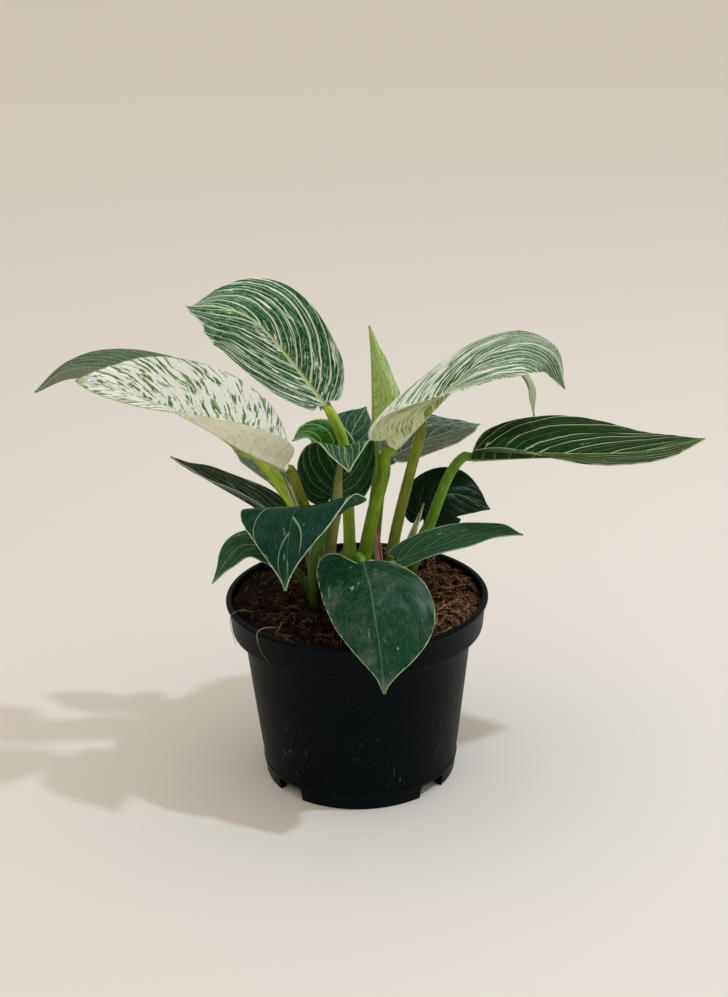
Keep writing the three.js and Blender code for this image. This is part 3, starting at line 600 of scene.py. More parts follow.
def blade(name, outline, half_width, line, facing, sides, neck, cells, wave=0.35, drift=0.25):
    """A leaf blade with its midrib underneath, as a closed shell. Its two sides leave the
    midrib at their fold angles, bend on by their curl, and lean toward the tip. A side may have
    an outline of its own. Cells are the rows, and the columns on each side."""
    rows, columns = cells
    t = np.linspace(0, 1, rows + 1)[:, None] * np.ones((1, 2 * columns + 1))
    column = np.linspace(-1, 1, 2 * columns + 1)[None, :] * np.ones((rows + 1, 1))
    q = np.abs(column) ** 1.5
    sign = np.sign(column)
    grids = [vein_grid(side.get("outline", outline), half_width, neck, t, q) for side in sides]
    flat = np.where(sign[..., None] < 0, grids[0][0], grids[1][0])
    share, reach = flat[..., 0], flat[..., 1] * half_width
    point, way, upper, aside = rib_frame(line, facing, share)
    at = np.clip(share, 0, 1)

    def angle(key):
        curves = (through(np.broadcast_to(side.get(key, 0), 3), at) for side in sides)
        return np.where(sign < 0, *map(np.radians, curves))

    fold, lean = angle("fold"), angle("lean")
    bend = angle("curl") / half_width
    bend = np.where(np.abs(bend) < 1e-6, 1e-6, bend)
    out = (np.sin(fold + bend * reach) - np.sin(fold)) / bend
    rise = (np.cos(fold) - np.cos(fold + bend * reach)) / bend
    # Margins wave a little, and the blade swells between its side veins.
    rise = (rise + wave * q ** 3 * np.sin(t * MARGIN_WAVES + sign * 1.7)
            * np.minimum(1, 6 * (1 - t)))
    rise = rise + SWELL * np.sin(pi * np.clip(q * 1.1, 0, 1)) * np.cos(t * 2 * pi * SWELLS)
    outward = aside * sign[..., None]
    across = out * np.cos(lean)
    middle = (point + outward * across[..., None] + way * (out * np.sin(lean))[..., None]
              + upper * rise[..., None])
    normal = unit(np.cross(np.gradient(middle, axis=1), np.gradient(middle, axis=0)))

    def pushed(distance):
        shift = normal * distance[..., None]
        crossing = -np.sum(shift * outward, axis=-1) - FOLD_ROOM * across
        return middle + shift + outward * np.maximum(0, crossing)[..., None]

    rib = np.clip(1 - share / RIB_REACH, 0, 1)
    rib_width = neck * (0.16 + 0.84 * rib ** 0.9)
    rib_depth = RIB_DEPTH * neck * rib ** 1.6
    ridge = rib_depth * np.sqrt(np.clip(1 - (reach / rib_width) ** 2, 0, 1))
    thin = HALF_THICKNESS - EDGE_THINNING * q ** 5
    groove = (GROOVE_DEPTH * np.exp(-(reach / (0.5 * neck + 0.1)) ** 2)
              * np.clip(1.2 - share, 0, 1))
    scale = line.length, half_width
    gaps = []
    for _, edge in grids:
        margin = edge.point(np.linspace(0, 1, EDGE_SPOTS))[:, :2] * scale
        gaps.append(np.min(np.linalg.norm(flat[:, :, None] * scale - margin, axis=-1), axis=-1))
    edge_gap = np.where(sign < 0, *gaps)
    # The side veins run farther forward than the rows do, the more so toward the margin.
    vein = t + drift * np.log(1 - 0.75 * q)
    data = [{"place": place,
             "veins": np.stack([sign * q, vein, is_upper + 0 * t], axis=-1),
             "reach": np.stack([sign * reach, t, edge_gap], axis=-1)}
            for is_upper, place in ((1, pushed(thin - groove)), (0, pushed(-thin - ridge)))]
    bm = sheet(2 * columns, rows, data)
    bmesh.ops.recalc_face_normals(bm, faces=bm.faces[:])
    return piece(bm, name + "_blade", 75)


# The pattern that all blades share: two greens, pinstripes and cream streaks along the side
# veins, a pale midrib and margin, a tinted tip, a duller underside, and dust.
pattern, given = shader_group(
    "leaf pattern", ("Deep", "Green", "Pale", "Midrib", "Margin", "Below", "Tip"),
    ("Lines", "Fine", "Count", "Width", "Cream base", "Cream tip", "Streaks", "Midrib width",
     "Margin width", "Tip from", "Dull", "Dust", "Seed"))
place = surface(pattern.nodes[0])
across, forward, is_upper = attribute(pattern.nodes[0], "veins").parts()
reach, along, edge_gap = attribute(pattern.nodes[0], "reach").parts()
side = across.calc("SIGN") * 7.7 + given["Seed"]
aside = across.calc("ABSOLUTE")
run = (place.cloud(70) * 0.06 + forward) * given["Count"] + side


def spread(aside_scale, run_scale):
    """A place on the blade for a pattern that is stretched along the side veins."""
    parts = {0: aside * aside_scale, 1: run * run_scale, 2: given["Seed"]}
    return aside.feed("CombineXYZ", parts)


def pinstripes(scale, share, thick):
    """Lines of uneven width that come and go along the side veins, and the gaps to them."""
    cells = {"W": run * scale, "Scale": 1, "Randomness": 0.85}
    cell = run.feed("TexVoronoi", cells, voronoi_dimensions="1D", feature="DISTANCE_TO_EDGE")
    presence = spread(1.9, scale).cloud(1).step(0.62 - share, 0.78 - share)
    width = (presence * thick + 0.002) * given["Width"]
    return 1 - cell.step(width * 0.35, width), cell


wide, wide_cell = pinstripes(1, 0.32, 0.085)
thin, _ = pinstripes(2.3, 0.22, 0.1)
lines = wide.calc("MAXIMUM", thin * given["Fine"]) * given["Lines"]
streak_place = spread(4, given["Streaks"])
amount = along * (given["Cream tip"] - given["Cream base"]) + given["Cream base"]
low = 0.9 - amount
cream = streak_place.cloud(1, 4, 0.62).step(0.26, 0.74).step(low, low + 0.1)
mottle = spread(16, 5).cloud(1, 3, 0.6) * 0.7 + place.cloud(700) * 0.3
top = lines.calc("MAXIMUM", cream).blend(
    mottle.step(0.42, 0.6).blend(given["Deep"], given["Green"]), given["Pale"])
rim_width = given["Margin width"] * (streak_place.cloud(2.2) * 1.1 + 0.35)
top = (1 - edge_gap.step(rim_width * 0.45, rim_width)).blend(top, given["Margin"])
rib_width = given["Midrib width"] * (along * -0.7 + 1)
off_rib = reach.calc("ABSOLUTE")
top = (1 - off_rib.step(rib_width * 0.5, rib_width)).blend(top, given["Midrib"])
top = along.step(given["Tip from"], given["Tip from"] + 0.12).blend(top, given["Tip"])
under = given["Dull"].blend(top, given["Below"])
under_rib = 1 - off_rib.calc("DIVIDE", rib_width).step(0.9, 1.5)
under = under_rib.blend(under, given["Midrib"])
dusty = place.cloud(60, 6, 0.72).step(0.45, 0.72)
grit = place.feed("TexVoronoi", {"Vector": place, "Scale": 340, "Randomness": 1})
speck = grit.step(0.16, 0.08) * place.cloud(330, 1).step(0.6, 0.7)
dust = given["Dust"] * is_upper * (dusty * 0.4).calc("MAXIMUM", speck)
color = dust.blend(is_upper.blend(under, top), paint(150, 160, 155))
rough = dust * 0.35 + (is_upper * -0.14 + (mottle * 0.2 + 0.38))
group_results(pattern, color, rough, wide_cell.step(0, 0.4) + mottle * 0.35)

USUAL_LOOKS = dict(lines=0.6, fine=0.5, count=6, width=0.5, cream=(0, 0), streaks=2,
                   midrib_width=0.9, margin_width=0.5, tip_from=2, dull=0.7, dust=0.05)


def blade_skin(name, looks):
    """The skin of one blade, with its own greens and its own pattern."""
    looks = {"margin": looks["pale"], "tip": looks["green"], **USUAL_LOOKS, **looks}
    looks["cream_base"], looks["cream_tip"] = looks.pop("cream")
    given = {key.replace("_", " ").capitalize(): paint(*look) if isinstance(look, tuple) else look
             for key, look in looks.items()}
    made, shader = finish(name, 0.12)
    group = node(shader, "Group", given, node_tree=pattern)
    dress(shader, *map(Field, group.outputs), 0.4, 0.0005)
    return made


def leaf(name, blade_kind, petiole_kind, outline, half_width, route, facing, sides, petiole,
         radii, greens, cells=(72, 20), drift=0.25, **looks):
    """Makes one leaf of the plant: the petiole from the soil up, and the blade at its end. The
    petiole has a radius at its foot and one at its neck, and two greens for its streaks."""
    line = Line(route)
    foot, neck = radii
    point, way, upper, _ = (values[0] for values in rib_frame(line, facing, np.zeros(1)))
    end = point - 0.9 * neck * upper - 0.4 * way
    (root_x, root_y), *between = petiole
    path = Line([(root_x, root_y, ROOTED_Z), *between, end - 2 * neck * way, end,
                 end + 1.5 * neck * way])
    radii = [foot + (neck - foot) * min(1, ring / (STALK_RINGS - 2))
             for ring in range(STALK_RINGS + 1)]
    radii[-3:] = [neck * shrink for shrink in (0.93, 0.8, 0.55)]
    stem = stalk("petiole_" + name, path, radii, upper)
    stem.data.materials.append(stalk_skin("petiole_skin_" + name, *greens))
    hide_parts("petiole_" + name)
    made = blade("leaf_" + name, outline, half_width, line, facing, sides, neck, cells, drift=drift)
    made.data.materials.append(blade_skin("blade_skin_" + name, looks))
    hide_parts("leaf_" + name)


leaf("upper_left", "striped", "green", BROAD, 22.5,
     [(-12, -6, 180), (-27, -4, 201), (-41, -7, 219), (-55, -16, 228), (-68, -28, 232)],
     [(-0.2, -0.8, 0.55), (-0.2, -0.85, 0.5), (-0.25, -0.8, 0.5)],
     [dict(fold=(14, 10, 0), lean=(36, 30, 44)), dict(fold=(5, 0, -55), lean=(5, -10, -50))],
     [(-3, 9), (-3, 9, 88), (-3, 8, 121), (-4, 2, 157)], (3.1, 2.3),
     ((190, 220, 90), (150, 184, 58)),
     deep=(22, 62, 30), green=(84, 134, 84), pale=(236, 242, 226), midrib=(186, 202, 140),
     below=(96, 130, 88), lines=0.95, fine=0.85, count=9, width=0.85, cream=(0.26, 0.04),
     streaks=3, midrib_width=1.5, dust=0.1, seed=1)

# ---------- Cream leaf
# A cream and white leaf, folded along its midrib, with dashes of green along its side veins.
# It stands on an olive petiole.
WEDGE = [(0.015, 0.34), (0.06, 0.6), (0.16, 0.85), (0.3, 0.98), (0.43, 1), (0.58, 0.9),
         (0.73, 0.69), (0.85, 0.43), (0.94, 0.2), (1, 0.015)]
leaf("cream_left", "cream", "olive", WEDGE, 25,
     [(-30, -18, 158), (-47, -25, 169), (-66, -32, 183), (-88, -40, 197), (-113, -48, 207)],
     [(0, -0.25, 0.97), (0, -0.4, 0.91), (0, -0.5, 0.86)],
     [dict(fold=(58, 46, 5)), dict(fold=(54, 42, 30))],
     [(-9, -2), (-10, -4, 92), (-15, -9, 115), (-23, -16, 140)], (3.1, 2.4),
     ((150, 156, 56), (110, 118, 34)),
     drift=0.04, deep=(70, 104, 40), green=(112, 142, 72), pale=(238, 238, 228),
     midrib=(196, 196, 140), margin=(140, 162, 84), below=(252, 252, 222), tip=(150, 168, 92),
     lines=0.3, count=15, width=1, cream=(0.6, 0.55), streaks=4, midrib_width=1, margin_width=0.6,
     tip_from=0.93, dull=0.78, dust=0, seed=2)

# ---------- Far left leaf
# A long grey green leaf behind the cream one. Its tip curls down, and a thick lime petiole
# carries it.
LONG = [(-0.035, 0.3), (-0.02, 0.58), (0.08, 0.84), (0.22, 0.98), (0.38, 1), (0.55, 0.9),
        (0.71, 0.68), (0.84, 0.42), (0.93, 0.19), (1, 0.015)]
leaf("far_left", "grey_green", "lime", LONG, 22,
     [(-50, 14, 157), (-73, 10, 174), (-98, 4, 188), (-121, -2, 194), (-138, -6, 189)],
     [(0, -0.1, 1), (0, -0.1, 1), (0, 0, 1)],
     [dict(fold=(38, 38, 40), curl=(14, 14, 10)), dict(fold=(45, 40, 30))],
     [(-11, 7), (-12, 7, 92), (-19, 8, 112), (-29, 9, 131), (-43, 13, 150)], (3.6, 3),
     ((198, 224, 80), (158, 188, 48)),
     deep=(64, 84, 58), green=(100, 120, 92), pale=(158, 172, 150), midrib=(150, 164, 104),
     below=(132, 150, 128), tip=(84, 92, 56), fine=0.8, count=14, width=0.9, cream=(0.05, 0),
     streaks=3, margin_width=0.4, tip_from=0.95, dust=0.1, seed=3)

# ---------- Newest leaf
# The newest leaf, upright and still folded along its midrib: one half yellow green, the other
# nearly white with green streaks.
SPEAR = [(-0.02, 0.4), (0.03, 0.74), (0.13, 0.96), (0.25, 1), (0.4, 0.88), (0.55, 0.68),
         (0.7, 0.47), (0.83, 0.28), (0.93, 0.13), (1, 0.015)]
leaf("newest", "cream", "green", SPEAR, 11.5,
     [(11, 16, 164), (10, 17, 177), (9, 18, 192), (8, 18, 209)], (0.95, -0.3, 0.1),
     [dict(fold=(60, 60, 50))] * 2,
     [(7, -3), (7, -2, 95), (7, 4, 118), (10, 12, 142)], (2.8, 1.6),
     ((132, 160, 74), (100, 132, 56)),
     # Its yellow greens, below most of all, are painted more vivid than the leaf: painted light,
     # for light shining through it.
     deep=(96, 166, 4), green=(150, 206, 30), pale=(232, 238, 200), midrib=(176, 196, 92),
     margin=(176, 190, 100), below=(192, 232, 66), tip=(150, 128, 84), count=10, width=1,
     cream=(0.5, 0.44), streaks=5, tip_from=0.95, dull=0.3, dust=0, seed=4)

# ---------- Arched leaf
# A big leaf that arches over to the right, with a funnel at its base: cream there, and dark
# with white pinstripes toward its tip.
FUNNEL_FAR = [(-0.045, 0.3), (-0.045, 0.5), (0, 0.62), (0.1, 0.68), (0.26, 0.8), (0.46, 0.97),
              (0.63, 1), (0.78, 0.88), (0.89, 0.58), (0.96, 0.26), (1, 0.015)]
FUNNEL_NEAR = [(-0.03, 0.3), (-0.025, 0.56), (0.03, 0.8), (0.12, 0.95), (0.28, 1), (0.46, 1),
               (0.6, 0.95), (0.72, 0.8), (0.82, 0.58), (0.92, 0.3), (1, 0.015)]
leaf("arched_right", "striped", "green", FUNNEL_FAR, 18.5,
     [(16, -12, 164), (31, -8, 177), (47, -2, 190), (61, 4, 199), (77, 9, 202), (90, 12, 195),
      (95, 14, 179)],
     [(-0.65, -0.1, 0.75), (-0.3, -0.7, 0.7), (0.3, -0.8, 0.4)],
     [dict(fold=(72, -29, -60)), dict(outline=FUNNEL_NEAR, fold=(75, 24, -10), lean=(0, -10, 10))],
     [(-1, -9), (0, -9, 92), (3, -9, 107), (8, -10, 131), (13, -12, 150)], (3.8, 2.7),
     ((130, 162, 36), (90, 124, 18)),
     deep=(20, 74, 44), green=(88, 136, 72), pale=(232, 236, 218), midrib=(210, 222, 192),
     below=(186, 196, 96), lines=1, fine=0.85, count=15, width=1.1, cream=(0.72, -0.04),
     streaks=2.6, midrib_width=0.7, margin_width=0.6, dull=0.45, dust=0, seed=5)

# ---------- Drooping leaf
# A narrow leaf behind the arched one. Only its tip hangs free of it, pale on both sides of
# a darker middle.
leaf("drooping_right", "striped", "olive", LONG, 9,
     [(33, 16, 171.5), (46, 23, 182), (61, 31, 185.5), (73.5, 37, 182), (81.5, 41, 172),
      (84, 42, 157)],
     [(-0.5, 0, 0.85), (0.2, -0.2, 1), (0.75, -0.6, 0.2)],
     [dict(fold=(10, 4, 10)), dict(fold=(80, 36, 10))],
     [(13, 2), (14, 3, 90), (18, 4, 115), (25, 7, 143), (30, 11, 160)], (3, 2.3),
     ((142, 156, 50), (104, 120, 28)),
     deep=(110, 140, 66), green=(150, 172, 96), pale=(206, 214, 176), midrib=(110, 130, 70),
     below=(160, 172, 124), lines=0.7, count=12, width=1.2, cream=(0.4, 0.45), dust=0, seed=6)

# ---------- Right leaf
# A long dark green leaf that points right, with thin pale lines that sweep up from a bright
# midrib.
leaf("right", "dark", "green", WEDGE, 24,
     [(54, 10, 151), (79, 8, 151), (106, 5, 151), (131, 2, 153), (156, 0, 159)], (0, 0, 1),
     [dict(fold=(24, 20, 4), curl=(10, 8, 4)), dict(fold=(32, 10, -5))],
     [(20, 0), (22, 1, 90), (26, 3, 100), (33, 5, 117), (42, 8, 140)], (3, 2.3),
     ((112, 158, 30), (74, 120, 16)),
     deep=(8, 42, 2), green=(20, 58, 8), pale=(196, 212, 160), midrib=(140, 172, 74),
     below=(22, 54, 10), lines=0.95, fine=0.25, count=9, width=0.55, midrib_width=1.1, seed=7)

# ---------- Cupped leaf
# A dark leaf in the middle whose back is turned to the front, and whose tip folds over
# forward. Light veins spread from its base.
HEART = [(-0.07, 0.24), (-0.095, 0.5), (-0.03, 0.78), (0.12, 0.96), (0.3, 1), (0.5, 0.88),
         (0.68, 0.64), (0.82, 0.38), (0.92, 0.16), (1, 0.015)]
leaf("cupped_centre", "dark", "olive", HEART, 18.5,
     [(-8, -14, 139), (-7, -15, 151), (-5, -19, 163), (-4, -27, 168), (-2, -36, 160)],
     [(0, 0.95, 0.3), (0, 0.7, 0.7), (0, -0.5, 0.85)],
     [dict(fold=(30, 20, 0)), dict(fold=(20, 12, 0))],
     [(-11, -16), (-12, -16, 92), (-12, -17, 111), (-10, -17, 126)], (3.4, 2.4),
     ((124, 130, 62), (88, 94, 36)),
     deep=(16, 56, 24), green=(48, 100, 58), pale=(176, 200, 160), midrib=(132, 142, 78),
     below=(20, 52, 12), lines=0.8, fine=0.2, count=8, width=0.55, midrib_width=1.1,
     margin_width=0.7, dull=0.45, seed=8)

# ---------- Front left leaf
# A dark blue green leaf that drapes over to the front left, with a few light curved veins and
# a thick pale margin.
DRAPED_FULL = [(0.06, 0.25), (0.14, 0.51), (0.22, 0.79), (0.3, 0.97), (0.4, 1), (0.51, 0.92),
               (0.62, 0.69), (0.72, 0.42), (0.82, 0.2), (0.91, 0.07), (1, 0.015)]
DRAPED_SLIM = [(0.015, 0.3), (0.06, 0.55), (0.15, 0.8), (0.27, 0.95), (0.4, 0.95), (0.55, 0.79),
               (0.7, 0.53), (0.82, 0.29), (0.92, 0.1), (1, 0.015)]
SHADED_STALK = (92, 124, 52), (66, 98, 42)
leaf("front_left", "dark", "green", DRAPED_FULL, 28.5,
     [(-15, -23, 132), (-19, -29, 141), (-25, -41, 145), (-28, -51, 136), (-30, -57, 115)],
     [(-0.1, -0.1, 1), (-0.38, -0.5, 0.8), (-0.2, -0.95, 0.3)],
     [dict(fold=(12, 0, -10), lean=(-5, -20, -10)), dict(outline=DRAPED_SLIM, fold=(-6, 3, 0))],
     [(-18, -11), (-19, -13, 93), (-19, -19, 112)], (2.6, 2), SHADED_STALK,
     deep=(6, 48, 36), green=(16, 68, 50), pale=(160, 190, 150), midrib=(60, 100, 72),
     margin=(196, 210, 176), below=(70, 100, 76), tip=(84, 132, 84), lines=0.62, fine=0, count=2.8,
     width=0.34, midrib_width=0.5, margin_width=0.7, tip_from=0.93, dust=0.12, seed=9)

# ---------- Front leaf
# A heart-shaped leaf that hangs over the rim, the oldest at the front: dusty, with water marks
# and a faint midrib.
SKEWED_FULL = [(-0.005, 0.24), (0.03, 0.45), (0.115, 0.68), (0.24, 0.87), (0.4, 0.96),
               (0.56, 0.94), (0.69, 0.79), (0.79, 0.53), (0.87, 0.27), (0.94, 0.1), (1, 0.015)]
SKEWED_SLIM = [(-0.05, 0.2), (-0.13, 0.33), (-0.17, 0.5), (-0.145, 0.65), (-0.05, 0.75),
               (0.1, 0.79), (0.28, 0.8), (0.47, 0.71), (0.64, 0.53), (0.78, 0.32), (0.89, 0.12),
               (1, 0.015)]
leaf("front", "dark", "green", SKEWED_FULL, 27,
     [(3, -34, 118), (6, -50, 112.5), (8, -61.5, 101.5), (10, -68.5, 88), (11, -72, 73)],
     [(0.25, -0.6, 0.8), (0.2, -0.85, 0.5), (0, -0.8, 0.6)],
     [dict(fold=(5, 8, 0), curl=(0, -12, -10)), dict(outline=SKEWED_SLIM, fold=(-25, -34, -15))],
     [(2, -16), (1, -17, 92), (0, -20, 104), (0.5, -26, 116)], (2.5, 2),
     ((126, 164, 66), (94, 134, 50)),
     deep=(14, 54, 32), green=(28, 76, 50), pale=(150, 180, 150), midrib=(66, 104, 70),
     margin=(176, 196, 150), below=(54, 86, 60), tip=(84, 140, 48), lines=0.05, fine=0.3,
     width=0.6, margin_width=0.6, tip_from=0.93, dust=0.7, seed=10)

# ---------- Back leaves
# Smaller leaves at the back of the clump: a bright green one with a white margin behind the
# cupped leaf, a blue green one, and a grey green one with light stripes behind the arched leaf.
leaf("small_centre_left", "young", "green", HEART, 13,
     [(-8, 14, 145), (-14, 12, 155), (-22, 4, 163), (-27, 0, 162)],
     [(-0.3, -0.8, 0.5), (-0.3, -0.7, 0.7), (-0.6, -0.3, 0.7)],
     [dict(fold=(5, 5, 0))] * 2,
     [(-14, 14), (-13, 14, 92), (-11, 15, 120)], (2.4, 1.8), ((128, 156, 66), (96, 128, 50)),
     # Its greens are painted brighter than the leaf: painted light, for light shining through it
     # from behind.
     cells=(44, 14), deep=(30, 84, 8), green=(56, 112, 22), pale=(206, 222, 190),
     midrib=(150, 182, 90), below=(80, 130, 50), lines=0.7, fine=0.2, count=5, midrib_width=0.7,
     margin_width=0.8, dust=0, seed=11)
BACK_STALK = (124, 152, 66), (92, 124, 50)
leaf("centre_back", "grey_green", "green", HEART, 16,
     [(-7, 24, 140), (-4, 27, 148), (0, 32, 156), (6, 40, 164)], (0, -0.8, 0.6),
     [dict(fold=(10, 10, 0))] * 2,
     [(0, 17), (-1, 18, 92), (-4, 21, 118)], (2.4, 1.8), BACK_STALK,
     cells=(44, 14), deep=(32, 66, 46), green=(56, 92, 70), pale=(176, 196, 172),
     midrib=(140, 164, 104), below=(92, 118, 92), fine=0.4, midrib_width=0.8, seed=12)
leaf("back_right", "grey_green", "green", LONG, 15,
     [(17, 28, 143), (33, 40, 147), (48, 50, 148), (60, 58, 148)], (0, -0.1, 1),
     [dict(fold=(24, 24, 8), curl=(12, 12, 6)), dict(fold=(10, 5, 0))],
     [(6, 12), (8, 14, 95), (11, 22, 122)], (2.5, 1.9), BACK_STALK,
     # Its greens are painted paler than the grey green leaf: painted sheen, for the bright light
     # above on its upper side.
     cells=(56, 16), deep=(56, 74, 60), green=(104, 122, 104), pale=(206, 216, 204),
     midrib=(150, 168, 120), below=(110, 124, 112), fine=0.2, midrib_width=0.8, seed=13)

# ---------- Low leaves
# Small leaves low in the clump: at the left a dark one over the rim and a narrow one above it, a
# grey green one at the back left, a very dark round one at the back right, and a narrow blue
# green one at the right.
leaf("low_left", "dark", "green", HEART, 10,
     [(-32, -14, 111), (-41, -18, 119), (-52, -24, 121), (-63, -32, 108)],
     [(0, -0.3, 0.9), (-0.3, -0.5, 0.8), (-0.7, -0.5, 0.4)],
     [{}] * 2,
     [(-20, -5), (-21, -6, 90), (-26, -11, 103)], (2.2, 1.7), SHADED_STALK,
     cells=(44, 14), deep=(28, 72, 40), green=(42, 90, 54), pale=(150, 178, 140),
     midrib=(120, 150, 96), below=(92, 126, 90), lines=0.5, count=5, width=0.4, midrib_width=0.6,
     margin_width=0.6, seed=14)
leaf("thin_left", "dark", "green", LONG, 10,
     [(-27, 14, 114), (-43, 14, 125), (-60, 10, 137), (-74, 7, 147), (-82, 5, 154)], (0, 0, 1),
     [dict(fold=(20, 20, 10)), dict(fold=(42, 42, 34), curl=(14, 14, 10))],
     [(-19, 2), (-20, 5, 92), (-22, 10, 103)], (2.2, 1.7), SHADED_STALK,
     cells=(48, 14), deep=(18, 40, 26), green=(56, 80, 62), pale=(196, 208, 184),
     midrib=(120, 140, 90), below=(44, 66, 48), lines=0.75, count=9, midrib_width=0.6, dull=0.4,
     seed=15)
leaf("back_left", "grey_green", "green", LONG, 10,
     [(-33, 34, 126), (-43, 37, 133), (-50, 40, 138), (-57, 43, 144)], (0, 0, 1),
     [dict(fold=(20, 20, 10))] * 2,
     [(-8, 17), (-9, 18, 92), (-17, 24, 112)], (2.1, 1.6), BACK_STALK,
     cells=(40, 12), deep=(60, 80, 66), green=(88, 106, 92), pale=(150, 166, 150),
     midrib=(140, 156, 110), below=(98, 114, 100), lines=0.5, count=7, width=0.8, midrib_width=0.6,
     margin_width=0.4, seed=16)
leaf("round_back_right", "dark", "green", HEART, 15,
     [(34, 36, 108), (38, 40, 116), (48, 44, 118), (64, 44, 110)],
     [(-0.1, -0.8, 0.5), (0.1, -0.8, 0.6), (0.3, -0.8, 0.5)],
     [{}] * 2,
     [(14, 11), (17, 16, 88), (26, 29, 96)], (2.3, 1.8), SHADED_STALK,
     cells=(44, 14), deep=(6, 32, 10), green=(12, 42, 16), pale=(120, 148, 118),
     midrib=(84, 114, 66), below=(44, 68, 48), lines=0.15, width=0.7, midrib_width=0.7,
     margin_width=0.4, dust=0.03, seed=17)
leaf("low_right", "dark", "green", LONG, 9,
     [(18, -12, 108), (33, -10, 113), (51, -8, 117), (65, -8, 120), (75, -8, 118)],
     [(0, -0.5, 0.85), (0, -0.4, 0.9), (0, -0.4, 0.9)],
     [dict(fold=(14, 14, 6), curl=(12, 12, 8)), dict(fold=(25, 25, 0))],
     [(11, -10), (12, -11, 92)], (2.2, 1.7), ((112, 152, 50), (80, 124, 40)),
     cells=(48, 14), deep=(30, 68, 44), green=(46, 86, 60), pale=(156, 184, 150),
     midrib=(74, 116, 66), below=(76, 108, 78), lines=0.35, midrib_width=0.7, dust=0.1, seed=18)

# ---------- Sheaths
# The sheaths that wrapped earlier leaves: narrow papery blades that stand in the soil. One is
# dried to salmon and brown, two are pale, and one is dark and still curls around its leaf.
STRIP = [(0, 0.55), (0.08, 0.8), (0.25, 0.97), (0.45, 1), (0.63, 0.86), (0.8, 0.55), (0.92, 0.26),
         (1, 0.04)]


def sheath(name, slot, half_width, fold, route, facing, **looks):
    made = blade("sheath_" + name, STRIP, half_width, Line(route), facing, [dict(fold=fold)] * 2,
                 0, (48, 8), wave=0.2)
    made.data.materials.append(blade_skin("sheath_skin_" + name, looks))
    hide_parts("sheath_" + name)


sheath("dried", "sheath_dried", 2.6, 35,
       [(13, -5, 71), (12.5, -5, 92), (11, -4, 108), (9, -4, 130)], (-0.6, 0.7, 0),
       deep=(196, 150, 128), green=(222, 188, 170), pale=(232, 206, 190), midrib=(176, 96, 62),
       below=(206, 160, 138), lines=0.4, count=9, width=1, midrib_width=1, margin_width=0.3,
       dust=0, seed=21)
sheath("pale", "sheath_pale", 2.6, 25,
       [(17, -5, 71), (18, -4, 90), (22, -1.5, 106), (27, -0.5, 120), (31, 0, 131)], (0.3, 0.9, 0),
       deep=(150, 166, 108), green=(182, 194, 138), pale=(220, 222, 190), midrib=(150, 164, 92),
       below=(190, 198, 146), lines=0.7, count=7, width=1, midrib_width=0.5, margin_width=0.4,
       dust=0, seed=22)
sheath("streaked", "sheath_pale", 4, 25,
       [(-15, 0, 71), (-16, 0, 92), (-20, 0, 112), (-26, 0, 130), (-32, 0, 147)],
       [(1, 0.1, 0), (0.3, 0.9, 0.2), (0, 0.9, 0.3)],
       deep=(108, 146, 62), green=(158, 180, 110), pale=(212, 218, 188), midrib=(124, 152, 70),
       below=(178, 194, 130), lines=0.8, count=7, width=1, cream=(0.3, 0.6), midrib_width=0.5,
       margin_width=0.4, dust=0, seed=23)
sheath("curled", "blade_dark", 3, 20,
       [(-6, -24, 71), (-9, -24, 92), (-10, -25, 105), (-8, -26, 115), (-4, -27, 123)],
       [(0, 1, 0), (0, 1, 0), (0.1, 1, 0)],
       deep=(40, 72, 36), green=(62, 98, 48), pale=(206, 214, 180), midrib=(92, 122, 60),
       below=(44, 78, 40), lines=0.5, count=7, width=1, midrib_width=0.4, margin_width=0.6, dust=0,
       seed=24)

# ---------- Roots
# Fine pale roots that grew out of the soil. Two hang over the rim at the left, and a few thin
# ones stand out of the soil by the stems.
root_routes = [
    [(-47, -15, 86), (-51, -18, 88.6), (-54.5, -20.5, 89.2), (-57, -22.4, 87.4),
     (-56.6, -22.6, 81), (-54.4, -27, 75.4)],
    [(-36, -33, 86.5), (-39.5, -37, 88.9), (-43.4, -41.2, 89.4), (-44.1, -42.9, 86.8),
     (-43, -43, 81.6), (-41.5, -43.6, 78), (-39, -44.4, 75.2)],
    [(5, -20, 86), (9, -24, 92), (15, -27, 94), (19, -31, 90.5)],
    [(7, -21, 86), (12, -22, 90), (17, -22, 96), (20, -24, 99)],
    [(-31, -28, 86), (-34, -32, 89), (-33, -37, 90), (-36, -41, 87.5)],
    [(30, -24, 86), (35, -28, 89.5), (42, -29, 89), (46, -33, 86)],
]
roots = strands("pale_roots", root_routes, [0.3, 0.3, 0.22, 0.2, 0.22, 0.22], taper=0.35)
root_skin, shader = finish("root_skin", 0.3)
place = surface(shader)
shade = place.cloud(260, 3)
tan = shade.step(0.35, 0.65).blend(paint(112, 88, 62), paint(168, 148, 116))
dress(shader, tan, shade.step(-0.8, 1), place.cloud(1800, 3), 0.4, 0.0002)
roots.data.materials.append(root_skin)

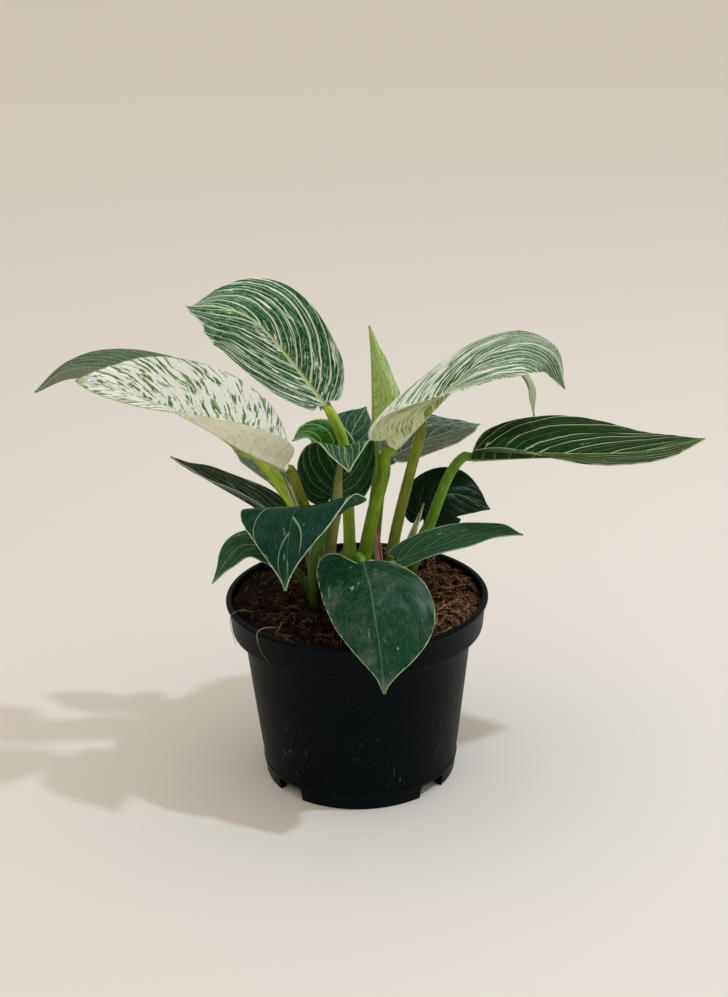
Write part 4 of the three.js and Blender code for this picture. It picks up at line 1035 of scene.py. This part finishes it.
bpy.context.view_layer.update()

# ---------- Studio
# A plain pale table under a wide bright ceiling, with a small clear light from the upper right.
# The camera looks down on the pot from the front.
FLOOR_REACH = 9
LENS = 64.995
CAMERA_DISTANCE = 0.808
CAMERA_AIM = (4.1, 0, 134)
CAMERA_RISE = radians(21.3)
CAMERA_ROLL = radians(1.18)

table = bmesh.new()
bmesh.ops.create_grid(table, x_segments=1, y_segments=1, size=FLOOR_REACH)
floor = solid(table, "floor")
linen, shader = finish("floor_paint", 0.1)
shader.inputs["Roughness"].default_value = 0.9
shader.inputs["Base Color"].default_value = (0.82, 0.785, 0.73, 1)
floor.data.materials.append(linen)

world = bpy.data.worlds.new("studio")
world.use_nodes = True
sky = world.node_tree.nodes["Background"].inputs
sky["Color"].default_value = (1, 0.92, 0.83, 1)
sky["Strength"].default_value = 0.43
bpy.context.scene.world = world


def lamp(name, spot, aim, size, power, color):
    light = bpy.data.lights.new(name, "AREA")
    light.size, light.energy, light.color = size, power, color
    holder = add(name, light)
    holder.location = spot
    holder.rotation_euler = (Vector(spot) - Vector(aim)).to_track_quat("Z", "Y").to_euler()


lamp("window", (0.69, -0.19, 1.17), (0, 0, 0.1), 0.05, 5, (0.88, 1, 1.16))
lamp("ceiling", (0, 0, 3), (0, 0, 0), 12, 190, (1, 0.94, 0.86))

camera = bpy.data.cameras.new("camera")
camera.sensor_fit, camera.sensor_height, camera.lens = "VERTICAL", 36, LENS
camera.clip_start, camera.clip_end = 0.05, 50
eye = add("camera", camera)
back = Vector((0, -cos(CAMERA_RISE), sin(CAMERA_RISE)))
right, up = Vector((1, 0, 0)), Vector((0, sin(CAMERA_RISE), cos(CAMERA_RISE)))
tilted_right = cos(CAMERA_ROLL) * right - sin(CAMERA_ROLL) * up
tilted_up = sin(CAMERA_ROLL) * right + cos(CAMERA_ROLL) * up
turned = Matrix((tilted_right, tilted_up, back)).transposed().to_4x4()
eye.matrix_world = Matrix.Translation(Vector(CAMERA_AIM) * MM + CAMERA_DISTANCE * back) @ turned
bpy.context.scene.camera = eye
bpy.context.scene.view_settings.view_transform = "Standard"
